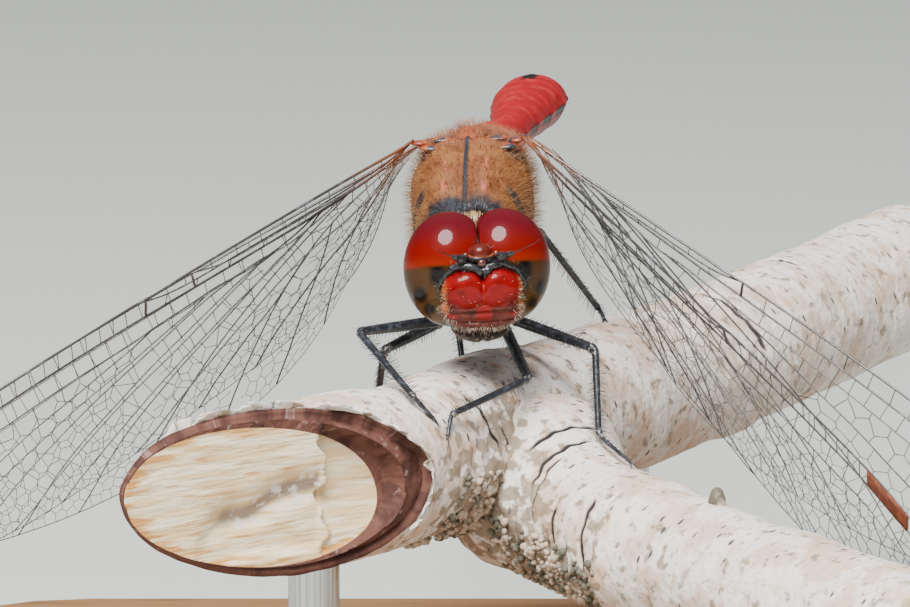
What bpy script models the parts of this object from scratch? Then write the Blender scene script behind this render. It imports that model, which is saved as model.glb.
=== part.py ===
"""A ruddy darter dragonfly at life size, settled on a forked twig that a plain stand holds up.

World frame: metres, +Z up, the insect's head towards -Y, its tail towards +Y.
The origin is the middle of the stand's underside.
"""
import math

import bmesh
import bpy
import numpy as np
from mathutils import Euler, Matrix, Vector

MM = 0.001
GAP = 0.05 * MM            # air between neighbouring pieces

# Where the insect is and how it holds itself
HEAD_CENTRE = Vector((-1.0, -1.0, 25.0)) * MM
HEAD_NOD = math.radians(4.5)          # nose down
HEAD_ROLL = math.radians(-2.5)
HEAD_TURN = math.radians(6.0)
BODY_OFFSET = Vector((-0.7, 0.0, 0.0)) * MM   # the body's axis passes beside the head's centre
BODY_PITCH = math.radians(4.5)        # tail up
BODY_ROLL = math.radians(-3.5)
BODY_YAW = math.radians(-6.0)

# Head, in its own frame: x to its side, y backwards, z up
EYE_CENTRE = Vector((1.07, 0.0, 0.03)) * MM
EYE_RADII = Vector((1.86, 1.75, 2.32)) * MM
EYE_BACK = 0.95 * MM                  # the eyes end flat against the back of the head
SKULL_CENTRE = Vector((0.0, 0.05, -0.3)) * MM
SKULL_RADII = Vector((1.15, 1.4, 1.8)) * MM
NAPE_CENTRE = Vector((0.0, 1.22, -0.05)) * MM
NAPE_RADII = Vector((2.45, 0.42, 2.1)) * MM
FRONS_CENTRE = Vector((0.80, -1.5, -0.42)) * MM
FRONS_RADII = Vector((0.95, 0.9, 0.88)) * MM
CLYPEUS_CENTRE = Vector((0.0, -1.25, -1.35)) * MM
CLYPEUS_RADII = Vector((1.6, 0.85, 0.6)) * MM
LABRUM_CENTRE = Vector((0.0, -1.1, -1.9)) * MM
LABRUM_RADII = Vector((1.4, 0.75, 0.55)) * MM
LABIUM_CENTRE = Vector((0.0, -0.55, -2.35)) * MM
LABIUM_RADII = Vector((1.3, 0.95, 0.5)) * MM
VERTEX_CENTRE = Vector((0.0, -1.42, 1.05)) * MM
VERTEX_RADII = Vector((0.45, 0.42, 0.38)) * MM
ANTENNA_ROOT = Vector((0.78, -1.95, 1.02)) * MM
ANTENNA_LEAN = Vector((0.55, -0.75, 0.36))   # its direction
ANTENNA_LENGTH = 2.6 * MM
FEELER_RADIUS = 0.25 * MM
HEAD_CUTTER = 8.0 * MM                # a block larger than the head

# Thorax, in the body's frame: distance behind the head's centre, mid height, half height, half width
COLLAR_CENTRE = Vector((0.0, 2.3, 0.25)) * MM
COLLAR_RADII = Vector((1.3, 0.46, 1.35)) * MM
THORAX_STATIONS = np.array((
    (2.85, 0.15, 1.30, 1.30),
    (3.60, 0.22, 2.15, 2.10),
    (4.80, 0.50, 2.95, 2.55),
    (6.20, 0.72, 3.30, 2.65),
    (7.80, 0.85, 3.10, 2.55),
    (9.30, 0.95, 2.55, 2.20),
    (10.50, 1.05, 1.90, 1.75),
    (11.30, 1.10, 1.38, 1.38),
)) * MM
THORAX_SQUARENESS = 2.5               # exponent of the section's superellipse

# Abdomen: lengths of its ten segments, and stations of distance, half width, half height
SEGMENT_LENGTHS = np.array((0.9, 2.0, 3.1, 3.3, 3.3, 3.2, 3.0, 2.2, 1.5, 0.8)) * MM
ABDOMEN_STATIONS = np.array((
    (0.0, 1.32, 1.36),
    (1.8, 1.50, 1.58),
    (3.8, 1.08, 1.15),
    (6.5, 0.82, 0.86),
    (9.5, 0.85, 0.84),
    (13.0, 1.08, 0.96),
    (16.5, 1.40, 1.12),
    (19.5, 1.62, 1.20),
    (21.6, 1.45, 1.08),
    (23.3, 0.90, 0.74),
)) * MM
ABDOMEN_START = Vector((0.0, 11.54, 1.12)) * MM
ABDOMEN_DROOP = math.radians(7.0)     # below the thorax's axis
CERCUS_LENGTH = 1.5 * MM
CERCUS_OFFSET = Vector((0.38, 0.0, 0.15)) * MM   # from the tail's axis
CERCUS_LEAN = Vector((0.10, 1.0, 0.02))

# Wings. The chord runs from the leading edge to the trailing edge, and the plate is pitched about the
# leading edge; twist is the fraction of the length over which it leaves the pitch of its hinge
WING_THICKNESS = 0.5 * MM
WING_PLANS = {
    "fore": dict(length=29.0 * MM, stigma=2.6 * MM, breadth=4.3 * MM, pinch=1.37, flare=0.09,
                 taper=4.0, bow=0.35 * MM, twist=0.03),
    "hind": dict(length=27.5 * MM, stigma=2.6 * MM, breadth=6.4 * MM, pinch=0.90, flare=0.07,
                 taper=1.8, bow=0.30 * MM, twist=0.37),
}
HINGE_PITCH = math.radians(-28)       # at its very root a wing lies along the thorax
HINGES = {"fore": Vector((2.20, 6.0, 3.75)) * MM, "hind": Vector((2.15, 8.7, 3.0)) * MM}
# each wing's side, then in degrees its forward sweep, its droop, and its pitch at the root and the tip
WING_SET = {
    ("fore", "left"): (-1, 42.5, 16.2, -66, -88),
    ("fore", "right"): (1, 48.8, 24.4, -66, -90),
    ("hind", "left"): (-1, 30.2, 20.6, -88, -88),
    ("hind", "right"): (1, 27.9, 28.8, -92, -92),
}

# Twig: a stem cut aslant at the front left, and a shoot that forks from it to the front right
STEM_START = HEAD_CENTRE + Vector((-13.05, -20.0, -5.36)) * MM
STEM_LENGTH = 65.0 * MM
STEM_HEADINGS = (math.radians(61), math.radians(58))
STEM_SLOPES = (-0.13, 0.06)          # its rise at the two ends
STEM_RADIUS = 3.2 * MM
STEM_FLARE = (0.35 * MM, 6.0 * MM)    # how much its cut end splays, and over what length
FORK_AT = 28.3 * MM                   # distance along the stem
SHOOT_LENGTH = 29.0 * MM
SHOOT_HEADINGS = (math.radians(-62), math.radians(-52))
SHOOT_DIP = 0.60                      # its first slope down, which fades over SHOOT_DIP_FADE
SHOOT_DIP_FADE = 4.2 * MM
SHOOT_RADIUS = 2.8 * MM
SHOOT_COLLAR = 0.45 * MM              # swelling where it leaves the stem
CUT_HEADING = math.radians(32)        # the slant cut's own direction, seen from above
CUT_AT = 16.5 * MM                    # where the cut meets the stem's near side
CUT_SLAB = 40.0 * MM                  # a block larger than what the cut takes away
SHOOT_ROOT = 1.2 * MM                 # the shoot starts this far from the stem's middle line
TRUNK = (13.0 * MM, 45.0 * MM)        # the stretch of stem that is cut out of the shoot

# Legs: hip joints in the body's frame (x is outwards), each a coxa's root and the end of its trochanter
HIPS = {
    "front": (Vector((0.80, 3.40, -2.45)) * MM, Vector((1.15, 2.95, -3.00)) * MM),
    "middle": (Vector((1.00, 4.80, -3.05)) * MM, Vector((1.50, 4.60, -3.55)) * MM),
    "hind": (Vector((1.20, 6.40, -3.05)) * MM, Vector((1.90, 6.75, -3.45)) * MM),
}
# each leg's knee in the same frame, then its branch, the ankle's distance along it (mm) and angle
# round it (degrees), and how far the foot reaches on along it and round it
STANCES = {
    ("front", "left"): (Vector((4.17, -0.33, -2.39)) * MM, "stem", 18.0, 31, 0.7, 16),
    ("front", "right"): (Vector((2.50, -0.34, -4.60)) * MM, "stem", 19.5, 49, -0.5, 12),
    ("middle", "left"): (Vector((3.35, 0.68, -3.49)) * MM, "stem", 24.5, -84, -1.2, -20),
    ("middle", "right"): (Vector((4.99, 2.18, -4.22)) * MM, "shoot", 6.5, -10, 2.2, -6),
    ("hind", "left"): (Vector((1.81, 11.61, -2.57)) * MM, "stem", 31.2, -66, -1.2, -18),
    ("hind", "right"): (Vector((2.03, 12.00, -1.92)) * MM, "stem", 39.2, -24, -1.4, 16),
}
LEG_LIFT = 0.36 * MM                  # a foot's middle line above the bark
LIMB_RADII = (0.33 * MM, 0.28 * MM, 0.26 * MM)   # at the hip, the knee and the ankle
COXA_RADII = (0.42 * MM, 0.40 * MM, 0.32 * MM)
COXA_END = 0.6                        # how far the coxa fills the way from its root to the hip

# Stand
BASE_SIZE = (54.0 * MM, 48.0 * MM, 5.0 * MM)
BASE_CORNER = 9.0 * MM
BASE_EDGE = 0.8 * MM
ROD_RADIUS = 1.0 * MM
ROD_SOCKET = 2.5 * MM                 # depth in the base
ROD_BITE = 1.6 * MM                   # depth in the twig
ROD_FIT = 0.08 * MM                   # clearance round a rod
ROD_STATIONS = {"front": 14.0 * MM, "back": 39.0 * MM}

COLOURS = {                           # base colour, roughness, metallic
    "eye": ((0.16, 0.015, 0.008), 0.15, 0.0),
    "face": ((0.45, 0.02, 0.015), 0.35, 0.0),
    "dark": ((0.02, 0.015, 0.012), 0.4, 0.0),
    "thorax": ((0.30, 0.11, 0.04), 0.7, 0.0),
    "abdomen": ((0.50, 0.03, 0.02), 0.4, 0.0),
    "wing": ((0.75, 0.78, 0.76), 0.2, 0.0),
    "leg": ((0.015, 0.017, 0.022), 0.35, 0.0),
    "bark": ((0.62, 0.55, 0.48), 0.85, 0.0),
    "wood": ((0.45, 0.30, 0.17), 0.55, 0.0),
    "steel": ((0.60, 0.60, 0.60), 0.3, 1.0),
}


# ---------------------------------------------------------------- scene set-up and small helpers

for old in list(bpy.data.objects):
    bpy.data.objects.remove(old, do_unlink=True)

PARTS = bpy.data.collections.new("dragonfly_on_twig")
CUTTERS = bpy.data.collections.new("cutters")
bpy.context.scene.collection.children.link(PARTS)
bpy.context.scene.collection.children.link(CUTTERS)


def make_material(name):
    colour, roughness, metallic = COLOURS[name]
    material = bpy.data.materials.new(name)
    material.use_nodes = True
    shader = material.node_tree.nodes["Principled BSDF"]
    shader.inputs["Base Color"].default_value = (*colour, 1.0)
    shader.inputs["Roughness"].default_value = roughness
    shader.inputs["Metallic"].default_value = metallic
    return material


MATERIALS = {name: make_material(name) for name in COLOURS}


def make_empty(name, location, rotation):
    empty = bpy.data.objects.new(name, None)
    empty.empty_display_size = MM
    empty.location = location
    empty.rotation_euler = rotation
    PARTS.objects.link(empty)
    return empty


def finish(name, data, material, location=(0, 0, 0), rotation=(0, 0, 0), parent=None):
    """Make data an object of the model."""
    piece = bpy.data.objects.new(name, data)
    data.materials.append(MATERIALS[material])
    piece.location = location
    piece.rotation_euler = rotation
    piece.parent = parent
    PARTS.objects.link(piece)
    return piece


def as_cutter(name, mesh, location=(0, 0, 0), rotation=(0, 0, 0), parent=None):
    """Make mesh a hidden object that only cuts others."""
    cutter = bpy.data.objects.new(name, mesh)
    cutter.location = location
    cutter.rotation_euler = rotation
    cutter.parent = parent
    cutter.hide_render = True
    cutter.display_type = "WIRE"
    CUTTERS.objects.link(cutter)
    return cutter


def boolean(piece, cutter, operation="DIFFERENCE"):
    modifier = piece.modifiers.new(f"{operation.lower()}_{cutter.name}", "BOOLEAN")
    modifier.operation = operation
    modifier.solver = "EXACT"
    modifier.object = cutter


def mesh_from(bm, name, smooth_angle=math.radians(40)):
    bmesh.ops.recalc_face_normals(bm, faces=bm.faces)
    mesh = bpy.data.meshes.new(name)
    bm.to_mesh(mesh)
    bm.free()
    mesh.shade_smooth()
    mesh.set_sharp_from_angle(angle=smooth_angle)
    return mesh


def ellipsoid(name, radii, segments=16, rings=8):
    bm = bmesh.new()
    bmesh.ops.create_uvsphere(bm, u_segments=segments, v_segments=rings, radius=1.0)
    bmesh.ops.scale(bm, vec=radii, verts=bm.verts)
    return mesh_from(bm, name)


def block(name, size):
    bm = bmesh.new()
    bmesh.ops.create_cube(bm, size=1.0)
    bmesh.ops.scale(bm, vec=size, verts=bm.verts)
    return mesh_from(bm, name)


def cylinder(name, radius, length, segments=24):
    bm = bmesh.new()
    bmesh.ops.create_cone(bm, cap_ends=True, segments=segments, radius1=radius, radius2=radius, depth=length)
    return mesh_from(bm, name)


def loft(name, rings):
    """Close a body through rings, an array of ring by point by xyz, with a flat cap on each end."""
    count, around, _ = rings.shape
    bm = bmesh.new()
    verts = [bm.verts.new(point) for point in rings.reshape(-1, 3)]
    for ring in range(count - 1):
        for k in range(around):
            after = (k + 1) % around
            low, high = ring * around, (ring + 1) * around
            bm.faces.new((verts[low + k], verts[low + after], verts[high + after], verts[high + k]))
    bm.faces.new(verts[:around])
    bm.faces.new(verts[-around:])
    return mesh_from(bm, name)


def through(stations, where):
    """Read a smooth curve through stations (first column is distance) at the distances where."""
    x = stations[:, 0]
    slopes = np.gradient(stations[:, 1:], x, axis=0)
    index = np.clip(np.searchsorted(x, where) - 1, 0, len(x) - 2)
    span = x[index + 1] - x[index]
    u = ((where - x[index]) / span)[:, None]
    start, end = stations[index, 1:], stations[index + 1, 1:]
    lean_in, lean_out = slopes[index] * span[:, None], slopes[index + 1] * span[:, None]
    return ((2 * u**3 - 3 * u**2 + 1) * start + (u**3 - 2 * u**2 + u) * lean_in
            + (3 * u**2 - 2 * u**3) * end + (u**3 - u**2) * lean_out)


def superellipse(around, squareness):
    """Unit points round a section; 2 is an ellipse, and a larger number is squarer."""
    angle = np.linspace(0, 2 * np.pi, around, endpoint=False)
    power = 2.0 / squareness
    across = np.sign(np.cos(angle)) * np.abs(np.cos(angle)) ** power
    up = np.sign(np.sin(angle)) * np.abs(np.sin(angle)) ** power
    return np.stack((across, up), axis=1)


def tube(name, points, radii, material, parent=None):
    """A round limb through points, its radius given at each, with closed ends."""
    curve = bpy.data.curves.new(name, "CURVE")
    curve.dimensions = "3D"
    curve.bevel_depth = max(radii)
    curve.bevel_resolution = 2
    curve.use_fill_caps = True
    spline = curve.splines.new("POLY")
    spline.points.add(len(points) - 1)
    start = Vector(points[0])
    for control, point, radius in zip(spline.points, points, radii):
        control.co = (*(Vector(point) - start), 1.0)
        control.radius = radius / max(radii)
    spline.use_smooth = True
    return finish(name, curve, material, location=start, parent=parent)


HEAD = make_empty("head_pose", HEAD_CENTRE, (HEAD_NOD, HEAD_ROLL, HEAD_TURN))
BODY = make_empty("body_pose", HEAD_CENTRE + BODY_OFFSET, (BODY_PITCH, BODY_ROLL, BODY_YAW))
BODY_MATRIX = Matrix.Translation(BODY.location) @ BODY.rotation_euler.to_matrix().to_4x4()


# ---------------------------------------------------------------- head

def mirrored(vector, side):
    return Vector((vector.x * side, vector.y, vector.z))


def grown(name, centre, radii):
    """A cutter one gap larger than an ellipsoid of the head."""
    return as_cutter(name, ellipsoid(name, radii + Vector((GAP, GAP, GAP))), centre, parent=HEAD)


def build_head():
    """Each piece is cut by the pieces in front of it, so they meet like plates with thin seams."""
    cutters = []

    def head_piece(name, centre, radii, material, segments=16, rings=8):
        piece = finish(name, ellipsoid(name, radii, segments, rings), material, centre, parent=HEAD)
        for cutter in cutters:
            boolean(piece, cutter)
        return piece

    lobe = mirrored(FRONS_CENTRE, -1)
    frons = head_piece("frons", FRONS_CENTRE, FRONS_RADII, "face")
    boolean(frons, as_cutter("frons_lobe", ellipsoid("frons_lobe", FRONS_RADII), lobe, parent=HEAD), "UNION")
    cutters.append(grown("cut_frons_a", FRONS_CENTRE, FRONS_RADII))
    cutters.append(grown("cut_frons_b", lobe, FRONS_RADII))
    head_piece("clypeus", CLYPEUS_CENTRE, CLYPEUS_RADII, "face")
    cutters.append(grown("cut_clypeus", CLYPEUS_CENTRE, CLYPEUS_RADII))
    head_piece("labrum", LABRUM_CENTRE, LABRUM_RADII, "face")
    cutters.append(grown("cut_labrum", LABRUM_CENTRE, LABRUM_RADII))
    head_piece("labium", LABIUM_CENTRE, LABIUM_RADII, "dark")
    cutters.append(grown("cut_labium", LABIUM_CENTRE, LABIUM_RADII))
    head_piece("vertex", VERTEX_CENTRE, VERTEX_RADII, "dark", 12, 6)
    cutters.append(grown("cut_vertex", VERTEX_CENTRE, VERTEX_RADII))

    skull = head_piece("head_capsule", SKULL_CENTRE, SKULL_RADII, "dark")
    nape = as_cutter("nape", ellipsoid("nape", NAPE_RADII, 16, 6), NAPE_CENTRE, parent=HEAD)
    boolean(skull, nape, "UNION")
    cutters.append(grown("cut_skull", SKULL_CENTRE, SKULL_RADII))
    cutters.append(grown("cut_nape", NAPE_CENTRE, NAPE_RADII))

    slab = block("behind_eyes", (HEAD_CUTTER, HEAD_CUTTER, HEAD_CUTTER))
    behind_eyes = as_cutter("behind_eyes", slab, (0, EYE_BACK + HEAD_CUTTER / 2, 0), parent=HEAD)
    for side, label in ((-1, "left"), (1, "right")):
        eye = head_piece(f"eye_{label}", mirrored(EYE_CENTRE, side), EYE_RADII, "eye", 20, 10)
        half = block(f"half_{label}", (HEAD_CUTTER, HEAD_CUTTER, HEAD_CUTTER))
        middle = (side * (GAP - HEAD_CUTTER) / 2, 0, 0)
        boolean(eye, as_cutter(f"half_{label}", half, middle, parent=HEAD))
        boolean(eye, behind_eyes)

    for side, label in ((-1, "left"), (1, "right")):
        root = mirrored(ANTENNA_ROOT, side)
        reach = mirrored(ANTENNA_LEAN, side).normalized() * ANTENNA_LENGTH
        points = [root + reach * part for part in (0.0, 0.25, 0.6, 1.0)]
        tube(f"antenna_{label}", points, [FEELER_RADIUS * 1.15] * 2 + [FEELER_RADIUS] * 2, "dark", HEAD)


# ---------------------------------------------------------------- thorax and abdomen

def build_thorax():
    finish("prothorax", ellipsoid("prothorax", COLLAR_RADII), "thorax", COLLAR_CENTRE, parent=BODY)
    where = np.linspace(THORAX_STATIONS[0, 0], THORAX_STATIONS[-1, 0], 11)
    middle, half_height, half_width = through(THORAX_STATIONS, where).T
    section = superellipse(20, THORAX_SQUARENESS)
    rings = np.empty((len(where), len(section), 3))
    rings[..., 0] = half_width[:, None] * section[:, 0]
    rings[..., 1] = where[:, None]
    rings[..., 2] = middle[:, None] + half_height[:, None] * section[:, 1]
    finish("thorax", loft("thorax", rings), "thorax", parent=BODY)


def build_abdomen():
    """Ten rings on one straight axis that droops from the thorax, parted by thin joints."""
    tilt = Euler((-ABDOMEN_DROOP, 0, 0))
    section = superellipse(12, 2.0)
    ends = np.concatenate(((0.0,), np.cumsum(SEGMENT_LENGTHS)))
    for number, (start, end) in enumerate(zip(ends[:-1], ends[1:]), 1):
        where = np.linspace(start + GAP / 2, end - GAP / 2, 4)
        half_width, half_height = through(ABDOMEN_STATIONS, where).T
        rings = np.empty((len(where), len(section), 3))
        rings[..., 0] = half_width[:, None] * section[:, 0]
        rings[..., 1] = where[:, None]
        rings[..., 2] = half_height[:, None] * section[:, 1]
        name = f"abdomen_{number:02d}"
        finish(name, loft(name, rings), "abdomen", ABDOMEN_START, tilt, BODY)
    tail = ABDOMEN_START + tilt.to_matrix() @ Vector((0, ends[-1] + GAP + FEELER_RADIUS, 0))
    for side, label in ((-1, "left"), (1, "right")):
        root = tail + mirrored(CERCUS_OFFSET, side)
        reach = mirrored(CERCUS_LEAN, side).normalized() * CERCUS_LENGTH
        points = [root, root + reach / 2, root + reach]
        tube(f"cercus_{label}", points, [FEELER_RADIUS, FEELER_RADIUS * 1.1, FEELER_RADIUS], "abdomen", BODY)


# ---------------------------------------------------------------- wings

def wing_edges(plan, t):
    """Height of the leading and trailing edges at the fractions t of the wing's length."""
    lead = plan["bow"] * np.sin(np.pi * t) - plan["stigma"] * (1 - np.sqrt(1 - t**16))
    spread = 1 - plan["pinch"] * np.exp(-t / plan["flare"])
    trail = -plan["stigma"] - plan["breadth"] * spread * np.sqrt(1 - t ** plan["taper"])
    return lead, trail


def build_wing(pair, label):
    """A twisted plate: a grid shaped by the two edges and the pitch, then thickened."""
    side, sweep, droop, root_pitch, tip_pitch = WING_SET[pair, label]
    plan = WING_PLANS[pair]
    columns, rows = 20, 3
    bm = bmesh.new()
    bmesh.ops.create_grid(bm, x_segments=columns, y_segments=rows, size=0.5)
    grid = np.array([vert.co for vert in bm.verts])
    u, v = grid[:, 0] + 0.5, grid[:, 1] + 0.5
    t = 0.997 * (1 - (1 - u) ** 1.35)
    lead, trail = wing_edges(plan, t)
    chord = -(lead + (trail - lead) * v)
    pitch = np.radians(root_pitch + (tip_pitch - root_pitch) * t**2)
    pitch += (HINGE_PITCH - pitch) * np.exp(-t / plan["twist"])
    shaped = np.stack((side * plan["length"] * t, chord * np.cos(pitch), chord * np.sin(pitch)), axis=1)
    for vert, place in zip(bm.verts, shaped):
        vert.co = place
    name = f"wing_{pair}_{label}"
    mesh = mesh_from(bm, name)
    rotation = (0, side * math.radians(droop), -side * math.radians(sweep))
    piece = finish(name, mesh, "wing", mirrored(HINGES[pair], side), rotation, BODY)
    plate = piece.modifiers.new("thickness", "SOLIDIFY")
    plate.thickness = WING_THICKNESS
    plate.offset = 0.0


# ---------------------------------------------------------------- twig

def stem_point(s):
    """The stem's middle line: it turns evenly from one heading to the other, and rises."""
    turn = (STEM_HEADINGS[1] - STEM_HEADINGS[0]) / STEM_LENGTH
    heading = STEM_HEADINGS[0] + turn * s
    x = (np.sin(heading) - np.sin(STEM_HEADINGS[0])) / turn
    y = (np.cos(STEM_HEADINGS[0]) - np.cos(heading)) / turn
    z = STEM_SLOPES[0] * s + (STEM_SLOPES[1] - STEM_SLOPES[0]) * s**2 / (2 * STEM_LENGTH)
    return np.stack((x, y, z), axis=-1) + np.array(STEM_START)


def stem_radius(s):
    """Splayed at the cut end, swollen at the fork, with a few low rings."""
    splay = STEM_FLARE[0] * np.exp(-s / STEM_FLARE[1])
    fork = 0.25 * MM * np.exp(-((s - FORK_AT) / (3.5 * MM)) ** 2)
    return STEM_RADIUS + splay + fork + 0.05 * MM * np.sin(s / (1.9 * MM))


def shoot_point(s):
    """The shoot's middle line: an even turn, and a dip that fades out."""
    turn = (SHOOT_HEADINGS[1] - SHOOT_HEADINGS[0]) / SHOOT_LENGTH
    heading = SHOOT_HEADINGS[0] + turn * s
    x = (np.sin(heading) - np.sin(SHOOT_HEADINGS[0])) / turn
    y = (np.cos(SHOOT_HEADINGS[0]) - np.cos(heading)) / turn
    z = -SHOOT_DIP * SHOOT_DIP_FADE * (1 - np.exp(-s / SHOOT_DIP_FADE))
    return np.stack((x, y, z), axis=-1) + stem_point(np.array(FORK_AT))


def shoot_radius(s):
    collar = SHOOT_COLLAR * np.exp(-((s - 4.0 * MM) / (3.0 * MM)) ** 2)
    return SHOOT_RADIUS + collar + 0.06 * MM * np.sin(s / (1.4 * MM))


BRANCHES = {"stem": (stem_point, stem_radius), "shoot": (shoot_point, shoot_radius)}


def branch_frame(branch, s):
    """Middle point, direction, and the unit vectors to its right side and top."""
    point = BRANCHES[branch][0]
    step = 0.05 * MM
    middle = Vector(point(np.array(s)))
    along = (Vector(point(np.array(s + step))) - Vector(point(np.array(s - step)))).normalized()
    right = along.cross(Vector((0, 0, 1))).normalized()
    return middle, along, right, right.cross(along)


def on_bark(branch, s, angle, lift=0.0):
    """A point on the bark, at an angle in degrees from its top towards its right side."""
    middle, _, right, top = branch_frame(branch, s)
    turn = math.radians(angle)
    radius = float(BRANCHES[branch][1](s)) + lift
    return middle + radius * (math.cos(turn) * top + math.sin(turn) * right)


def branch_mesh(name, branch, start, end, count, around=14, grow=0.0):
    rings = []
    for s in np.linspace(start, end, count):
        angles = np.arange(around) * 360.0 / around
        rings.append([on_bark(branch, s, angle, grow) for angle in angles])
    return loft(name, np.array(rings))


def rod_top(station):
    """The rod's end, a little above the stem's underside."""
    return on_bark("stem", station, 180) + Vector((0, 0, ROD_BITE))


def build_perch():
    stem = finish("perch_stem", branch_mesh("perch_stem", "stem", 0, STEM_LENGTH, 18), "bark")
    slab = block("slant_cut", (CUT_SLAB, CUT_SLAB, CUT_SLAB))
    near = on_bark("stem", CUT_AT, 90)
    outward = Vector((math.sin(CUT_HEADING), -math.cos(CUT_HEADING), 0))
    boolean(stem, as_cutter("slant_cut", slab, near + outward * CUT_SLAB / 2, (0, 0, CUT_HEADING)))
    for label, station in ROD_STATIONS.items():
        top = rod_top(station)
        hole = cylinder(f"hole_{label}", ROD_RADIUS + ROD_FIT, CUT_SLAB)
        boolean(stem, as_cutter(f"hole_{label}", hole, top + Vector((0, 0, ROD_FIT - CUT_SLAB / 2))))
    shoot = finish("perch_shoot", branch_mesh("perch_shoot", "shoot", SHOOT_ROOT, SHOOT_LENGTH, 12), "bark")
    trunk = branch_mesh("trunk_cut", "stem", *TRUNK, 15, grow=GAP)
    boolean(shoot, as_cutter("trunk_cut", trunk))


# ---------------------------------------------------------------- legs

def joint_gap(before, joint, after):
    """How far two round limbs stop short of the joint where they meet, so that they just part."""
    half = (before - joint).angle(after - joint) / 2
    return LIMB_RADII[0] / math.tan(half) + 1.5 * GAP


def limb(name, start, end, gaps, radii):
    """A straight leg piece that stops short of its joints, with narrower ends."""
    along = (end - start).normalized()
    first, last = start + along * gaps[0], end - along * gaps[1]
    parts = (0.0, 0.12, 0.88, 1.0)
    swell = (0.85, 1.0, 1.0, 0.85)
    points = [first.lerp(last, part) for part in parts]
    around = [(radii[0] + (radii[1] - radii[0]) * part) * scale for part, scale in zip(parts, swell)]
    return tube(name, points, around, "leg")


def leg_points(pair, label):
    """The coxa's root, hip, knee, ankle and toe, in the world's frame."""
    side = -1 if label == "left" else 1
    bend, branch, station, angle, reach, roll = STANCES[pair, label]
    root, hip, knee = (BODY_MATRIX @ mirrored(place, side) for place in (*HIPS[pair], bend))
    ankle = on_bark(branch, station * MM, angle, 2.0 * LEG_LIFT)
    toe = on_bark(branch, (station + reach) * MM, angle + roll, LEG_LIFT)
    return root, hip, knee, ankle, toe


def build_leg(pair, label):
    root, hip, knee, ankle, toe = leg_points(pair, label)
    name = f"{pair}_{label}"
    coxa_end = root.lerp(hip, COXA_END)
    tube(f"coxa_{name}", [root, root.lerp(coxa_end, 0.5), coxa_end], COXA_RADII, "dark")
    at_hip = joint_gap(root, hip, knee)
    at_knee = joint_gap(hip, knee, ankle)
    at_ankle = joint_gap(knee, ankle, toe)
    limb(f"femur_{name}", hip, knee, (at_hip, at_knee), LIMB_RADII[:2])
    limb(f"tibia_{name}", knee, ankle, (at_knee, at_ankle), LIMB_RADII[1:])
    limb(f"tarsus_{name}", ankle, toe, (at_ankle, 0.0), LIMB_RADII[2:] * 2)


# ---------------------------------------------------------------- stand

def build_stand():
    width, depth, height = BASE_SIZE
    bm = bmesh.new()
    bmesh.ops.create_cube(bm, size=1.0)
    bmesh.ops.scale(bm, vec=BASE_SIZE, verts=bm.verts)
    upright = [edge for edge in bm.edges if abs(edge.verts[0].co.z - edge.verts[1].co.z) > height / 2]
    bmesh.ops.bevel(bm, geom=upright, offset=BASE_CORNER, segments=5, affect="EDGES", profile=0.5)
    base = finish("stand_base", mesh_from(bm, "stand_base"), "wood", (0, 0, height / 2))
    edge = base.modifiers.new("soft_edge", "BEVEL")
    edge.width = BASE_EDGE
    edge.segments = 2
    edge.limit_method = "ANGLE"
    edge.angle_limit = math.radians(60)
    for label, station in ROD_STATIONS.items():
        top = rod_top(station)
        bottom = height - ROD_SOCKET
        middle = Vector((top.x, top.y, (top.z + bottom) / 2))
        rod = cylinder(f"stand_rod_{label}", ROD_RADIUS, top.z - bottom)
        finish(f"stand_rod_{label}", rod, "steel", middle)
        socket = cylinder(f"socket_{label}", ROD_RADIUS + ROD_FIT, height)
        low = bottom - ROD_FIT
        boolean(base, as_cutter(f"socket_{label}", socket, (top.x, top.y, low + height / 2)))


build_head()
build_thorax()
build_abdomen()
for wing_pair, wing_side in WING_SET:
    build_wing(wing_pair, wing_side)
build_perch()
for leg_pair, leg_side in STANCES:
    build_leg(leg_pair, leg_side)
build_stand()
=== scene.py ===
# %% [markdown]
# # A ruddy darter on a cut twig
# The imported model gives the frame: the insect's limbs and plates, the twig and the stand, all at their
# real size in metres. This lesson keeps that frame and gives it its looks, piece by piece. Nearly every
# piece is a surface worked out with numpy, so each shape is one formula on a grid of two numbers.

# %% Load the frame
import math

import bpy
import numpy as np
from mathutils import Euler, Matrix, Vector


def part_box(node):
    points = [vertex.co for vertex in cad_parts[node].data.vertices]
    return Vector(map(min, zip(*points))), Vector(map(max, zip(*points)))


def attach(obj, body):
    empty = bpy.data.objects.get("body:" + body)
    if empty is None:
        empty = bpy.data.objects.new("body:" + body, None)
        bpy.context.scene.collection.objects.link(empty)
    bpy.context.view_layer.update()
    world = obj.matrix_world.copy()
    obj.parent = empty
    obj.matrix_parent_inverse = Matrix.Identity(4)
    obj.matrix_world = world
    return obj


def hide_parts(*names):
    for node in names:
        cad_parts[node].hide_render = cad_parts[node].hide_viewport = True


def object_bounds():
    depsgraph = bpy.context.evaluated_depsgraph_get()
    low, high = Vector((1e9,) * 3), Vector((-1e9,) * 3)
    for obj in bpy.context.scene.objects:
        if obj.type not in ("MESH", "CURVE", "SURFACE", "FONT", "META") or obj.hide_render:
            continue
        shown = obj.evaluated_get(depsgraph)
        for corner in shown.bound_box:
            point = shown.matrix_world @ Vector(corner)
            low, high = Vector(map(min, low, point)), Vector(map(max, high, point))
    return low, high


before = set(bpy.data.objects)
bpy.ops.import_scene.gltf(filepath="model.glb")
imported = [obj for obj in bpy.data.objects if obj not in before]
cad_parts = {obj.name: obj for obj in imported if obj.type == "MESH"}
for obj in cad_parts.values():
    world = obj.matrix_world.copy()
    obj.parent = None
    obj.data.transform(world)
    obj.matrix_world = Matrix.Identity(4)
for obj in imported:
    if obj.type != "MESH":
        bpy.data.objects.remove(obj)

CAD_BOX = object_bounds()
MM = 0.001
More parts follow.
